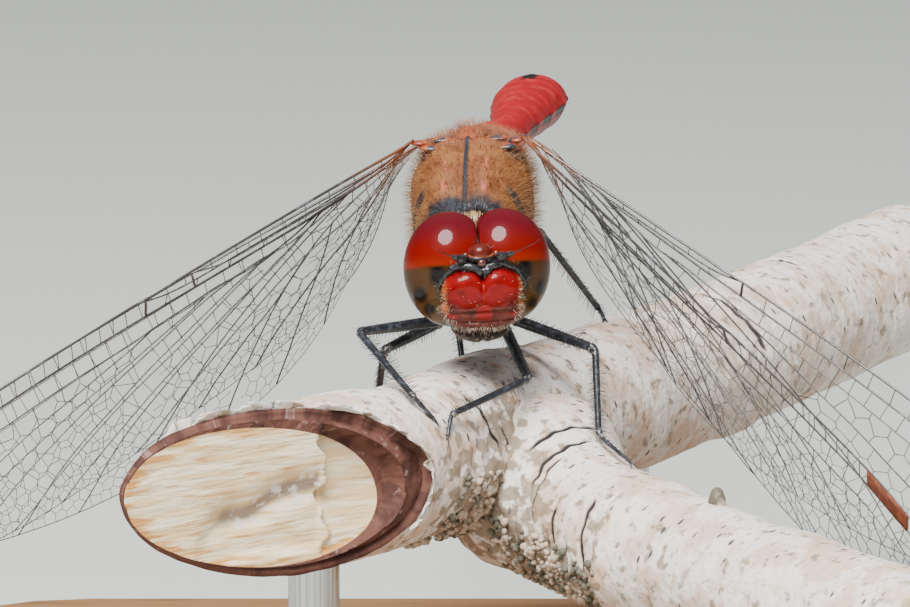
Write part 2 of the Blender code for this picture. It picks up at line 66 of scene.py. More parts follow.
box = [tuple(round(c / MM, 1) for c in corner) for corner in CAD_BOX]
print("frame:", len(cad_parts), "nodes, box", box)

# %% [markdown]
# ## How the insect holds itself
# The head and the body each have a frame of their own, in which x runs to the insect's side, y backwards
# and z upwards. Working in those frames lets left and right be one formula. The head's frame sits in the
# middle of the two eyes, and the body's axis passes a little beside it.

# %% Head and body frames
HEAD_CENTRE = np.array((-1.0, -1.0, 25.0))
HEAD_TURNS = (4.5, -2.5, 6.0)          # degrees about x, y and z: nose down, tilt, turn
BODY_CENTRE = HEAD_CENTRE + np.array((-0.7, 0.0, 0.0))
BODY_TURNS = (4.5, -3.5, -6.0)


def turned(degrees):
    """The rotation matrix of three turns, about x, then y, then z."""
    return np.array(Euler([math.radians(angle) for angle in degrees]).to_matrix())


HEAD = (turned(HEAD_TURNS), HEAD_CENTRE)
BODY = (turned(BODY_TURNS), BODY_CENTRE)
WORLD = (np.eye(3), np.zeros(3))


def placed(points, place):
    """Points in a local frame, carried to the world: rotation times point, plus the frame's centre."""
    turn, centre = place
    return points @ turn.T + centre


middle_of_eyes = (np.array(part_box("eye_left")) + np.array(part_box("eye_right"))).mean(axis=0) / 2 / MM
print("eyes' middle from the frame:", middle_of_eyes.round(2), "head frame:", HEAD_CENTRE)

# %% [markdown]
# ## Meshes from grids
# A grid of points with rows and columns becomes a skin of quads. Where the columns close on themselves the
# skin is a tube, and a fan of triangles closes each end. A mesh that came out inside out has a negative
# volume, by the divergence theorem, and is turned round. Every point also keeps its place in its own
# frame, in millimetres, as an attribute that the materials read.

# %% Mesh helpers
SIDES = ((-1, "left"), (1, "right"))


def circle(count):
    """Even angles round a circle: 2 pi times k over count."""
    return np.arange(count) * 2 * np.pi / count


def ramp(value, width):
    """Value over width, held between 0 and 1."""
    return np.clip(value / width, 0, 1)


def groove(distance, width):
    """A bell that is 1 where the distance is 0: exp of minus the square of distance over width."""
    return np.exp(-((distance / width) ** 2))


def squared(wave, power):
    """A sine or cosine pushed towards -1 and 1: its sign times its size to a power below 1."""
    return np.sign(wave) * np.abs(wave) ** power


def cubic(x, values, where):
    """A smooth curve through values at x. From one x to the next it is a cubic of u, the share of the way,
    and its slopes come from the neighbours."""
    x, values, where = (np.asarray(numbers, float) for numbers in (x, values, where))
    slope = np.gradient(values, x, axis=0)
    k = np.clip(np.searchsorted(x, where) - 1, 0, len(x) - 2)
    span = x[k + 1] - x[k]
    u = np.clip((where - x[k]) / span, 0, 1)
    if values.ndim > 1:
        span, u = span[..., None], u[..., None]
    return ((2 * u**3 - 3 * u**2 + 1) * values[k] + (u**3 - 2 * u**2 + u) * span * slope[k]
            + (3 * u**2 - 2 * u**3) * values[k + 1] + (u**3 - u**2) * span * slope[k + 1])


def grid_faces(rows, columns, wrap=False):
    """Quads between the neighbours of a rows by columns grid; wrap joins the last column to the first."""
    row, column = np.meshgrid(np.arange(rows - 1), np.arange(columns if wrap else columns - 1), indexing="ij")
    after = (column + 1) % columns
    below = (row + 1) * columns
    corners = (row * columns + column, row * columns + after, below + after, below + column)
    return np.stack([c.ravel() for c in corners], axis=1)


def tube_mesh(rings):
    """A closed body through rings (ring, point, xyz): quads along it, and a fan from each end's middle."""
    count, around, _ = rings.shape
    points = np.concatenate((rings.reshape(-1, 3), rings[:1].mean(axis=1), rings[-1:].mean(axis=1)))
    quads = grid_faces(count, around, wrap=True)
    k = np.arange(around)
    after = (k + 1) % around
    first, last = count * around, count * around + 1
    low = np.stack((np.full(around, first), after, k), axis=1)
    high = np.stack((np.full(around, last), k + first - around, after + first - around), axis=1)
    return points, [quads, low, high]


def joined(parts):
    """Several (points, faces) as one: the face numbers of each are moved past the points before it."""
    points, faces, start = [], [], 0
    for part_points, part_faces in parts:
        points.append(part_points)
        faces.extend(group + start for group in part_faces)
        start += len(part_points)
    return np.concatenate(points), faces


def signed_volume(points, faces):
    """Six times the volume inside, as the sum of triple products over triangles."""
    total = 0.0
    for group in faces:
        for k in range(1, group.shape[1] - 1):
            a, b, c = points[group[:, 0]], points[group[:, k]], points[group[:, k + 1]]
            total += np.einsum("ij,ij->i", a, np.cross(b, c)).sum()
    return total


def piece(name, shape, finish, place, stands_for, attributes=(), bake=None, grain=None):
    """Make a shape, in the millimetres of its own frame, a finished object that rides on the root body."""
    points, faces = shape
    middle = points.mean(axis=0)
    if signed_volume(points - middle, faces) < 0:
        faces = [group[:, ::-1] for group in faces]
    mesh = bpy.data.meshes.new(name)
    sides = np.concatenate([np.full(len(group), group.shape[1]) for group in faces])
    corners = np.concatenate([group.ravel() for group in faces])
    mesh.vertices.add(len(points))
    mesh.vertices.foreach_set("co", (placed(points, place) * MM).ravel())
    mesh.loops.add(len(corners))
    mesh.loops.foreach_set("vertex_index", corners.astype(np.int32))
    mesh.polygons.add(len(sides))
    mesh.polygons.foreach_set("loop_start", (np.cumsum(sides) - sides).astype(np.int32))
    mesh.update(calc_edges=True)
    mesh.validate()
    values = mesh.attributes.new("place", "FLOAT_VECTOR", "POINT")
    values.data.foreach_set("vector", (points if grain is None else grain).ravel())
    for label, numbers in attributes:
        mesh.attributes.new(label, "FLOAT", "POINT").data.foreach_set("value", np.asarray(numbers, float))
    if bake is not None:
        layer = mesh.uv_layers.new(name="OFBake")
        layer.data.foreach_set("uv", bake[corners].ravel())
    mesh.shade_smooth()
    thing = bpy.data.objects.new(name, mesh)
    bpy.context.scene.collection.objects.link(thing)
    mesh.materials.append(finish.material)
    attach(thing, "root")
    if stands_for:
        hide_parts(*stands_for)
    print(f"{name}: {(sides - 2).sum()} triangles")


# %% [markdown]
# ## Materials from a few nodes
# Each finish is a Principled shader. What is the same all over a surface is set on its own socket, and
# colour is laid on in coats: a base, then one mix for each marking, with a mask made from noise, from the
# place attribute or from an attribute of the mesh. A small graph helper keeps each finish to a few lines.

# %% Material helper
class Finish:
    """A Principled material and short ways to add nodes to it."""

    def __init__(self, name, **sockets):
        self.material = bpy.data.materials.new(name)
        self.material.use_nodes = True
        self.nodes = self.material.node_tree.nodes
        self.links = self.material.node_tree.links
        self.shader = self.nodes["Principled BSDF"]
        for socket, value in sockets.items():
            self.shader.inputs[socket.replace("_", " ")].default_value = value
        self.where = self.read("place")
        self.colour = None

    def put(self, socket, value):
        """Link a node's output to a socket, or set a plain value on it."""
        if isinstance(value, bpy.types.NodeSocket):
            self.links.new(value, socket)
        elif socket.type == "RGBA":
            socket.default_value = (*value, 1.0)
        else:
            socket.default_value = value

    def read(self, attribute):
        """The vector of the place attribute, or the number of another."""
        node = self.nodes.new("ShaderNodeAttribute")
        node.attribute_name = attribute
        return node.outputs["Vector" if attribute == "place" else "Fac"]

    def axis(self, which):
        """One coordinate of the place attribute."""
        split = self.nodes.new("ShaderNodeSeparateXYZ")
        self.put(split.inputs[0], self.where)
        return split.outputs[which]

    def stretched(self, scale):
        """The place attribute with each axis scaled, for patterns that run one way."""
        node = self.nodes.new("ShaderNodeMapping")
        self.put(node.inputs["Vector"], self.where)
        node.inputs["Scale"].default_value = scale
        return node.outputs[0]

    def noise(self, scale, detail=3.0, where=None):
        """Smooth noise from 0 to 1, of about scale waves to a millimetre."""
        node = self.nodes.new("ShaderNodeTexNoise")
        self.put(node.inputs["Vector"], where or self.where)
        node.inputs["Scale"].default_value = scale
        node.inputs["Detail"].default_value = detail
        return node.outputs["Fac"]

    def cells(self, scale, where=None):
        """Distance to the nearest of many random points, scale of them to a millimetre."""
        node = self.nodes.new("ShaderNodeTexVoronoi")
        self.put(node.inputs["Vector"], where or self.where)
        node.inputs["Scale"].default_value = scale
        return node.outputs["Distance"]

    def math(self, operation, a, b=0.0):
        """One step of arithmetic on a and b."""
        node = self.nodes.new("ShaderNodeMath")
        node.operation = operation
        self.put(node.inputs[0], a)
        self.put(node.inputs[1], b)
        return node.outputs[0]

    def times(self, a, b):
        """a times b."""
        return self.math("MULTIPLY", a, b)

    def plus(self, a, b):
        """a plus b."""
        return self.math("ADD", a, b)

    def minus(self, a, b):
        """a minus b."""
        return self.math("SUBTRACT", a, b)

    def larger(self, a, b):
        """The larger of a and b."""
        return self.math("MAXIMUM", a, b)

    def absolute(self, a):
        """a without its sign."""
        return self.math("ABSOLUTE", a)

    def ragged(self, value, scale, much):
        """A value plus some noise, so that a line drawn by it wanders."""
        return self.plus(value, self.times(self.noise(scale), much))

    def spots(self, low, high, scale, detail=3.0, where=None):
        """1 where noise is above high and 0 where it is below low."""
        return self.step(self.noise(scale, detail, where), low, high)

    def beyond(self, which, low, high):
        """1 where a coordinate is above high and 0 where it is below low."""
        return self.step(self.axis(which), low, high)

    def step(self, value, low, high):
        """0 below low, 1 above high and smooth between; low above high turns it round."""
        node = self.nodes.new("ShaderNodeMapRange")
        node.interpolation_type = "SMOOTHSTEP"
        self.put(node.inputs["Value"], value)
        turned_round = low > high
        node.inputs["From Min"].default_value = min(low, high)
        node.inputs["From Max"].default_value = max(low, high)
        node.inputs["To Min"].default_value = 1.0 if turned_round else 0.0
        node.inputs["To Max"].default_value = 0.0 if turned_round else 1.0
        return node.outputs["Result"]

    def coat(self, colour, *masks):
        """Lay a colour over the earlier ones where the product of the masks is 1."""
        if not masks:
            self.colour = colour
            self.put(self.shader.inputs["Base Color"], colour)
            return self
        mask = masks[0]
        for other in masks[1:]:
            mask = self.times(mask, other)
        node = self.nodes.new("ShaderNodeMix")
        node.data_type = "RGBA"
        self.put(node.inputs["Factor"], mask)
        self.put(node.inputs[6], self.colour)
        self.put(node.inputs[7], colour)
        self.colour = node.outputs[2]
        self.put(self.shader.inputs["Base Color"], self.colour)
        return self

    def relief(self, height, depth):
        """Bump of depth millimetres where height goes from 0 to 1; one on another adds up."""
        node = self.nodes.new("ShaderNodeBump")
        node.inputs["Strength"].default_value = 1.0
        node.inputs["Distance"].default_value = depth * MM
        self.put(node.inputs["Height"], height)
        normal = self.shader.inputs["Normal"]
        if normal.is_linked:
            self.put(node.inputs["Normal"], normal.links[0].from_socket)
        self.put(normal, node.outputs[0])
        return self

    def dull(self, mask, low, high):
        """Roughness that goes from low to high with a mask."""
        node = self.nodes.new("ShaderNodeMapRange")
        self.put(node.inputs["Value"], mask)
        node.inputs["To Min"].default_value = low
        node.inputs["To Max"].default_value = high
        self.put(self.shader.inputs["Roughness"], node.outputs["Result"])
        return self


def speckled(name, base, spots, low, high, scale, detail=3.0, **sockets):
    """A finish of one colour, with spots of another where noise is high."""
    finish = Finish(name, **sockets).coat(base)
    return finish.coat(spots, finish.spots(low, high, scale, detail))


# %% [markdown]
# ## Camera, floor and light
# The view is a close portrait: the lens looks slightly down on the face from 230 mm away, so the near
# wing tips spread and the tail almost hides behind the thorax. A long lens at that distance keeps the
# drawing natural. The aim point sits a little to the left of the head and below it, which puts the head
# right of the middle and higher, with the twig below.

# %% Camera
VIEW_DISTANCE = 230.0                  # millimetres
VIEW_ELEVATION = math.radians(12.0)
LENS = 229.3                           # for a sensor 36 mm wide
AIM_OFFSET = np.array((-0.873, -1.409))  # of the view's middle from the head, right and up

back = np.array((0.0, -math.cos(VIEW_ELEVATION), math.sin(VIEW_ELEVATION)))
right = np.array((1.0, 0.0, 0.0))
up = np.cross(back, right)
camera = bpy.data.objects.new("camera", bpy.data.cameras.new("camera"))
bpy.context.scene.collection.objects.link(camera)
camera.data.sensor_width = 36.0
camera.data.lens = LENS
camera.data.clip_start, camera.data.clip_end = 0.01, 10.0
aim = HEAD_CENTRE + right * AIM_OFFSET[0] + up * AIM_OFFSET[1]
camera.location = Vector((aim + back * VIEW_DISTANCE) * MM)
camera.rotation_euler = (math.pi / 2 - VIEW_ELEVATION, 0.0, 0.0)
bpy.context.scene.camera = camera
print("camera at", [round(c / MM) for c in camera.location], "mm")

# %% [markdown]
# The light is one large round soft box, high in front and slightly to the left, whose reflection is the
# white patch on each eye. The room gives the rest: pale all round and brightest overhead, so glossy
# parts get a soft sheen on top and stay deep in colour below.

# %% Floor and lights
HORIZON_LIGHT, ZENITH_LIGHT = 0.13, 0.55
KEY_WAY, KEY_DISTANCE, KEY_SIZE, KEY_POWER = (-0.17, -0.54, 0.84), 330, 210, 3.4   # lengths in millimetres

light = bpy.data.lights.new("key", "AREA")
light.shape = "DISK"
light.size = KEY_SIZE * MM
light.energy = KEY_POWER
light.color = (1.0, 0.98, 0.95)
lamp = bpy.data.objects.new("key", light)
bpy.context.scene.collection.objects.link(lamp)
way = Vector(KEY_WAY).normalized()
lamp.location = Vector(HEAD_CENTRE * MM) + way * KEY_DISTANCE * MM
lamp.rotation_euler = way.to_track_quat("Z", "Y").to_euler()

world = bpy.data.worlds.new("studio")
world.use_nodes = True
sky = world.node_tree.nodes
background = sky["Background"]
direction = sky.new("ShaderNodeTexCoord").outputs["Generated"]
height = sky.new("ShaderNodeSeparateXYZ")
fade = sky.new("ShaderNodeMapRange")
world.node_tree.links.new(height.inputs[0], direction)
world.node_tree.links.new(fade.inputs["Value"], height.outputs[2])
world.node_tree.links.new(background.inputs["Strength"], fade.outputs["Result"])
fade.interpolation_type = "SMOOTHSTEP"
fade.inputs["From Min"].default_value, fade.inputs["From Max"].default_value = 0.15, 1.0
fade.inputs["To Min"].default_value, fade.inputs["To Max"].default_value = HORIZON_LIGHT, ZENITH_LIGHT
background.inputs["Color"].default_value = (0.93, 0.95, 1.0, 1.0)
bpy.context.scene.world = world

paper = Finish("pale_floor", Roughness=0.9).coat((0.60, 0.64, 0.60))
floor_mesh = bpy.data.meshes.new("floor")
FLOOR = 3.0
corners = [(-FLOOR, -FLOOR, 0), (FLOOR, -FLOOR, 0), (FLOOR, FLOOR, 0), (-FLOOR, FLOOR, 0)]
floor_mesh.from_pydata(corners, [], [(0, 1, 2, 3)])
floor_mesh.materials.append(paper.material)
floor = bpy.data.objects.new("floor", floor_mesh)
bpy.context.scene.collection.objects.link(floor)

# %% [markdown]
# ## Wings: the plan
# A dragonfly's wing is a clear membrane stretched between a net of veins, and it is pleated: the strong
# lengthwise veins sit by turns on a ridge or in a valley. One could draw each vein by hand, but there are
# about a thousand. Here the few main veins are drawn as curves, and the net between them grows by a rule.
# A place on a wing is given by two numbers: t, from hinge to tip, and v, from leading to trailing edge.

# %% Wing outlines
PLANS = {
    "fore": dict(length=29.0, stigma=2.6, breadth=4.3, pinch=1.37, flare=0.09, taper=4.0, bow=0.35,
                 twist=0.03),
    "hind": dict(length=27.5, stigma=2.6, breadth=6.4, pinch=0.90, flare=0.07, taper=1.8, bow=0.30,
                 twist=0.37),
}
HINGE_PITCH = math.radians(-28)
HINGES = {"fore": np.array((2.20, 6.0, 3.75)), "hind": np.array((2.15, 8.7, 3.0))}
# side, then in degrees the forward sweep, the droop, and the pitch at the root and at the tip
WING_SET = {
    ("fore", "left"): (-1, 42.5, 16.2, -66, -88),
    ("fore", "right"): (1, 48.8, 24.4, -66, -90),
    ("hind", "left"): (-1, 30.2, 20.6, -88, -88),
    ("hind", "right"): (1, 27.9, 28.8, -92, -92),
}


def edges(plan, t):
    """Depth of the two edges below the line from hinge to tip. Leading: minus a sine bow, plus a round-off
    at the tip. Trailing: stigma depth plus a breadth that flares from the root and tapers to the tip."""
    lead = -plan["bow"] * np.sin(np.pi * t) + plan["stigma"] * (1 - np.sqrt(1 - t**16))
    spread = 1 - plan["pinch"] * np.exp(-t / plan["flare"])
    trail = plan["stigma"] + plan["breadth"] * spread * np.sqrt(1 - t ** plan["taper"])
    return lead, trail


# Main veins as (t, v) points: where each starts, bends and ends
VEINS = {
    "fore": {
        "subcosta": ((0.0, 0.10), (0.12, 0.085), (0.30, 0.070), (0.44, 0.050), (0.50, 0.0)),
        "radius": ((0.0, 0.22), (0.10, 0.17), (0.30, 0.145), (0.50, 0.130), (0.70, 0.125), (0.85, 0.150),
                   (0.93, 0.20), (0.975, 0.36)),
        "radial_sector": ((0.165, 0.155), (0.25, 0.21), (0.40, 0.215), (0.55, 0.225), (0.72, 0.245),
                          (0.86, 0.30), (0.95, 0.50), (0.985, 0.80)),
        "second_sector": ((0.48, 0.22), (0.60, 0.32), (0.74, 0.43), (0.87, 0.66), (0.95, 1.0)),
        "inner_sector": ((0.33, 0.215), (0.46, 0.36), (0.62, 0.52), (0.76, 0.74), (0.86, 1.0)),
        "third_sector": ((0.28, 0.212), (0.42, 0.43), (0.56, 0.60), (0.68, 0.80), (0.77, 1.0)),
        "media": ((0.165, 0.155), (0.21, 0.27), (0.34, 0.46), (0.48, 0.66), (0.60, 0.86), (0.68, 1.0)),
        "hind_media": ((0.0, 0.38), (0.12, 0.37), (0.20, 0.40), (0.32, 0.58), (0.44, 0.80), (0.54, 1.0)),
        "cubitus": ((0.20, 0.40), (0.235, 0.56), (0.32, 0.76), (0.42, 1.0)),
        "anal": ((0.0, 0.46), (0.08, 0.56), (0.17, 0.66), (0.25, 0.84), (0.31, 1.0)),
    },
    "hind": {
        "subcosta": ((0.0, 0.07), (0.12, 0.055), (0.25, 0.045), (0.36, 0.035), (0.41, 0.0)),
        "radius": ((0.0, 0.17), (0.10, 0.12), (0.30, 0.10), (0.50, 0.105), (0.70, 0.125), (0.85, 0.165),
                   (0.93, 0.22), (0.975, 0.38)),
        "radial_sector": ((0.13, 0.115), (0.22, 0.155), (0.36, 0.160), (0.55, 0.185), (0.72, 0.235),
                          (0.86, 0.32), (0.95, 0.52), (0.985, 0.80)),
        "second_sector": ((0.40, 0.165), (0.54, 0.28), (0.70, 0.42), (0.84, 0.66), (0.93, 1.0)),
        "inner_sector": ((0.27, 0.158), (0.40, 0.28), (0.56, 0.45), (0.71, 0.70), (0.81, 1.0)),
        "third_sector": ((0.22, 0.155), (0.36, 0.34), (0.50, 0.51), (0.63, 0.75), (0.71, 1.0)),
        "media": ((0.13, 0.115), (0.18, 0.20), (0.30, 0.36), (0.43, 0.56), (0.54, 0.80), (0.61, 1.0)),
        "cubitus": ((0.0, 0.27), (0.10, 0.24), (0.165, 0.29), (0.26, 0.46), (0.36, 0.72), (0.45, 1.0)),
        "loop_rib": ((0.165, 0.29), (0.20, 0.50), (0.26, 0.74), (0.33, 1.0)),
        "anal": ((0.0, 0.33), (0.07, 0.42), (0.12, 0.62), (0.17, 0.82), (0.21, 1.0)),
    },
}
RIDGES = {"radius": 1, "radial_sector": -1, "subcosta": -1, "inner_sector": 1, "third_sector": -1,
          "media": 1, "second_sector": -1, "hind_media": -1, "cubitus": 1, "loop_rib": -1, "anal": 1}
PLEAT_HEIGHT, PLEAT_WIDTH = 0.10, 0.42     # millimetres


def vein_depth(points, t):
    """v along a vein at t: a cubic through its points."""
    return cubic(*np.array(points).T, t)


def pleats(pair, t, v):
    """Height of the pleated membrane: a bell of one sign or the other across each main vein."""
    lead, trail = edges(PLANS[pair], t)
    height = np.zeros(np.broadcast(t, v).shape)
    for vein, points in VEINS[pair].items():
        off = (v - vein_depth(points, t)) * (trail - lead)
        fade = ramp(t - points[0][0], 0.04) * ramp(points[-1][0] - t, 0.04)
        height += RIDGES[vein] * fade * PLEAT_HEIGHT * groove(off, PLEAT_WIDTH)
    return height


def on_wing(pair, label, t, v):
    """A place on the wing in the body's frame: along the span, down the pitched chord, and up the pleat."""
    side, sweep, droop, root_pitch, tip_pitch = WING_SET[pair, label]
    plan = PLANS[pair]
    lead, trail = edges(plan, t)
    chord = lead + (trail - lead) * v
    pitch = np.radians(root_pitch + (tip_pitch - root_pitch) * t**2)
    pitch += (HINGE_PITCH - pitch) * np.exp(-t / plan["twist"])
    rise = pleats(pair, t, v)
    y = chord * np.cos(pitch) - rise * np.sin(pitch)
    z = chord * np.sin(pitch) + rise * np.cos(pitch)
    flat = np.stack(np.broadcast_arrays(side * plan["length"] * t, y, z), axis=-1)
    hinge = HINGES[pair] * np.array((side, 1, 1))
    return flat @ turned((0, side * droop, -side * sweep)).T + hinge


# %% [markdown]
# ## Wings: the net of small veins
# In life the small veins part the membrane into cells of about one size, much as soap films do. The same
# look comes from relaxing points: each point owns the part of the wing that is nearest to it, moves to that
# part's middle, and after some rounds the parts are even, mostly six-sided cells. The main veins keep
# their own: a point may own only places on its own side of each of them. Narrow strips behind the leading
# edge then hold one row of cells, like the rungs of a ladder, and the fields behind hold many. The cells
# are smaller towards the trailing edge. The edges of the cells are the veins of the net.

# %% Net of veins
STEP = 0.05                  # millimetres between the places that are tested
ROUNDS = 14
RUNG_SPACING = {"fore": 1.75, "hind": 2.0}     # in the narrow strips
NET_SEED = 11
NET_END = 0.995              # of the wing's length
ONE_ROW = 0.85               # a field narrower than this many cells holds one row of them
THIN_STRIP = 0.55            # millimetres of width, below which the cells of a row are rungs
ROW_CELL = 1.1               # length of a cell in the other single rows, in cell sizes
CROWDING = 4.0               # the weight of a place is one over the cell size to this power


def regions(pair, t, v):
    """A whole number for each place that says which main veins it lies behind."""
    code = np.zeros(t.shape, np.int64)
    for bit, points in enumerate(VEINS[pair].values()):
        active = (t >= points[0][0]) & (t < points[-1][0])
        code |= (active & (v > vein_depth(points, t))).astype(np.int64) << bit
    return code


def cell_size(t, v):
    """Wanted width of a cell: smaller towards the trailing edge and a little larger in the middle."""
    return 0.76 - 0.38 * v**1.5 + 0.12 * np.sin(np.pi * t)


def relax(places, weights, count, rng, in_row):
    """Move count points to the weighted middles of what each is nearest to, ROUNDS times over."""
    if in_row:
        order = np.argsort(places[:, 0])
        start = order[((np.arange(count) + 0.5) / count * len(places)).astype(int)]
    else:
        start = rng.choice(len(places), count, replace=False, p=weights / weights.sum())
    points = places[start].astype(np.float32)
    for _ in range(ROUNDS):
        owner = nearest(places, points)
        total = np.bincount(owner, weights, count)
        total[total == 0] = 1.0
        for axis in (0, 1):
            points[:, axis] = np.bincount(owner, weights * places[:, axis], count) / total
    return nearest(places, points)


def nearest(places, points):
    """Which point has the smallest sum of squared differences from each place."""
    gaps = ((places[:, None, :].astype(np.float32) - points[None, :, :]) ** 2).sum(axis=2)
    return gaps.argmin(axis=1)


def vein_net(pair):
    """Ends of every small vein, as an array of vein by end by (t, v)."""
    plan = PLANS[pair]
    rng = np.random.default_rng(NET_SEED)
    deepest = plan["stigma"] + plan["breadth"]
    spans, depths = np.arange(STEP, plan["length"], STEP), np.arange(-plan["bow"], deepest + STEP, STEP)
    x, depth = np.meshgrid(spans, depths, indexing="ij")
    t = x / plan["length"]
    lead, trail = edges(plan, t)
    v = (depth - lead) / (trail - lead)
    inside = (v > 0) & (v < 1) & (t < NET_END)
    code = regions(pair, t, v)
    owner = np.full(x.shape, -1)
    home, count = [], 0
    for region in np.unique(code[inside]):
        mask = inside & (code == region)
        places = np.stack((x[mask], depth[mask]), axis=1)
        area = mask.sum() * STEP**2
        reach = np.ptp(places[:, 0]) + STEP
        width = area / reach
        size = cell_size(t[mask], v[mask])
        in_row = width < ONE_ROW * size.mean()
        number = area / (size**2).mean()
        if in_row:
            number = reach / (RUNG_SPACING[pair] if width < THIN_STRIP else size.mean() * ROW_CELL)
        number = int(np.clip(round(number), 1, len(places)))
        owner[mask] = relax(places, size**-CROWDING, number, rng, in_row) + count
        home += [region] * number
        count += number
    home = np.array(home)
    middles = np.stack([np.bincount(owner[inside], grid[inside], count) for grid in (x, depth)], axis=1)
    middles /= np.maximum(np.bincount(owner[inside], minlength=count), 1)[:, None]
    around = np.stack((owner[:-1, :-1], owner[1:, :-1], owner[:-1, 1:], owner[1:, 1:]), axis=-1)
    around = np.sort(around, axis=-1)
    meets = (np.diff(around, axis=-1) > 0).sum(axis=-1) >= 2
    corner = np.stack((x[:-1, :-1][meets], depth[:-1, :-1][meets]), axis=1) + STEP / 2
    around = around[meets]
    pairs = [(a, b) for a in range(4) for b in range(a + 1, 4)]
    first = np.concatenate([around[:, a] for a, b in pairs])
    second = np.concatenate([around[:, b] for a, b in pairs])
    corner = np.tile(corner, (len(pairs), 1))
    kept = (first >= 0) & (first != second)
    kept[kept] = home[first[kept]] == home[second[kept]]
    first, second, corner = first[kept], second[kept], corner[kept]
    gap = middles[second] - middles[first]
    along = corner[:, 0] * -gap[:, 1] + corner[:, 1] * gap[:, 0]
    key = first * count + second
    order = np.lexsort((along, key))
    key, corner = key[order], corner[order]
    starts = np.flatnonzero(np.concatenate(([True], key[1:] != key[:-1])))
    ends = np.concatenate((starts[1:], [len(key)])) - 1
    veins = np.stack((corner[starts], corner[ends]), axis=1)
    veins = veins[np.linalg.norm(veins[:, 0] - veins[:, 1], axis=1) > 2 * STEP]
    t = veins[..., 0] / plan["length"]
    lead, trail = edges(plan, t)
    v = np.clip((veins[..., 1] - lead) / (trail - lead), 0, 1)
    print(f"{pair} wing: {count} cells, {len(veins)} small veins")
    return np.stack((t, v), axis=-1)


NETS = {pair: vein_net(pair) for pair in PLANS}

# %% [markdown]
# ## Wings: veins and membrane as meshes
# Every vein is a thin rod: a ring of points round each place of its path. For hundreds of short rods at
# once the paths form one array, so the rings of all of them are worked out together. The membrane is a
# closed slab a few hundredths of a millimetre thick that follows the pleats.

# %% Rods along many paths
def rods(paths, radii, sides=3, guide=None):
    """Closed rods along paths (rod, place, xyz). Round each place goes a ring: the radius times the cosine
    and sine of even angles, along two directions square to the path. A guide direction that no part of the
    path follows keeps the rings from twisting."""
    paths = np.asarray(paths, float)
    count, stops, _ = paths.shape
    along = np.gradient(paths, axis=1)
    along /= np.linalg.norm(along, axis=2, keepdims=True) + 1e-12
    if guide is None:
        steep = np.abs(along[:, :1, 2:]) > 0.8
        guide = np.where(steep, np.array((1.0, 0.0, 0.0)), np.array((0.0, 0.0, 1.0))) + 0 * along
    else:
        guide = guide + 0 * along
    across = np.cross(along, guide)
    across /= np.linalg.norm(across, axis=2, keepdims=True) + 1e-12
    upward = np.cross(across, along)
    angle = circle(sides)
    radii = np.broadcast_to(np.asarray(radii, float), (count, stops))[..., None, None]
    ring = across[:, :, None, :] * np.cos(angle)[:, None] + upward[:, :, None, :] * np.sin(angle)[:, None]
    points = (paths[:, :, None, :] + radii * ring).reshape(-1, 3)
    per_rod = stops * sides
    base = (np.arange(count) * per_rod)[:, None, None]
    quads = (grid_faces(stops, sides, wrap=True)[None] + base).reshape(-1, 4)
    cap = np.arange(sides)[None, None, ::-1]
    caps = np.concatenate((cap + base, cap[..., ::-1] + base + per_rod - sides)).reshape(-1, sides)
    return points, [quads, caps]


def slab(surface, thickness):
    """A closed plate from a grid of places: one skin on each side of it, and a rim of quads between."""
    rows, columns, _ = surface.shape
    du, dv = np.gradient(surface, axis=0), np.gradient(surface, axis=1)
    normal = np.cross(du, dv)
    normal /= np.linalg.norm(normal, axis=2, keepdims=True) + 1e-12
    top = (surface + normal * thickness / 2).reshape(-1, 3)
    bottom = (surface - normal * thickness / 2).reshape(-1, 3)
    skin = grid_faces(rows, columns)
    shift = rows * columns
    index = np.arange(shift).reshape(rows, columns)
    rim = np.concatenate((index[0, :], index[1:, -1], index[-1, -2::-1], index[-2:0:-1, 0]))
    after = np.roll(rim, -1)
    wall = np.stack((rim, after, after + shift, rim + shift), axis=1)
    return np.concatenate((top, bottom)), [skin, skin[:, ::-1] + shift, wall[:, ::-1]]


# %% Wing materials
membrane = speckled("wing_membrane", (0.62, 0.68, 0.66), (0.85, 0.80, 0.88), 0.45, 0.6, 0.9, Roughness=0.10,
                    IOR=1.6, Alpha=0.045, Coat_Weight=0.6, Coat_Roughness=0.06, Specular_IOR_Level=1.0)
membrane.relief(membrane.noise(1.1, 2.0), 0.10)

amber = speckled("wing_amber", (0.50, 0.15, 0.012), (0.60, 0.22, 0.03), 0.45, 0.6, 1.5, Roughness=0.3,
                 Alpha=0.32, Specular_IOR_Level=0.2)

vein = Finish("wing_vein", Roughness=0.30, Coat_Weight=0.7, Coat_Roughness=0.12)
vein.coat((0.036, 0.032, 0.031)).coat((0.20, 0.06, 0.02), vein.step(vein.read("root"), 0.0, 1.0))
# painted glints: grey-silver flecks along the veins stand in for the light's glints on them
vein.coat((0.15, 0.155, 0.17), vein.spots(0.54, 0.68, 2.2, 3.0), 0.6)

stigma = speckled("wing_stigma", (0.16, 0.035, 0.015), (0.28, 0.08, 0.03), 0.45, 0.6, 3.0, Roughness=0.4)

# %% [markdown]
# The stigma is the dark cell near each wing's tip, behind the leading edge, and the nodus is the stout
# joint halfway along it, where the front strip changes. Both are drawn as solid pieces. Amber patches
# tint the membrane at the hinge.

# %% Build the four wings
NODUS = {"fore": 0.485, "hind": 0.41}
STIGMA_SPAN = {"fore": (0.805, 0.895), "hind": (0.785, 0.88)}
AMBER_END = {"fore": 0.035, "hind": 0.06}
MEMBRANE_THICKNESS = 0.02
NET_RADIUS, MAIN_RADIUS, COSTA_RADIUS = 0.018, 0.035, 0.062
TIP = 0.996


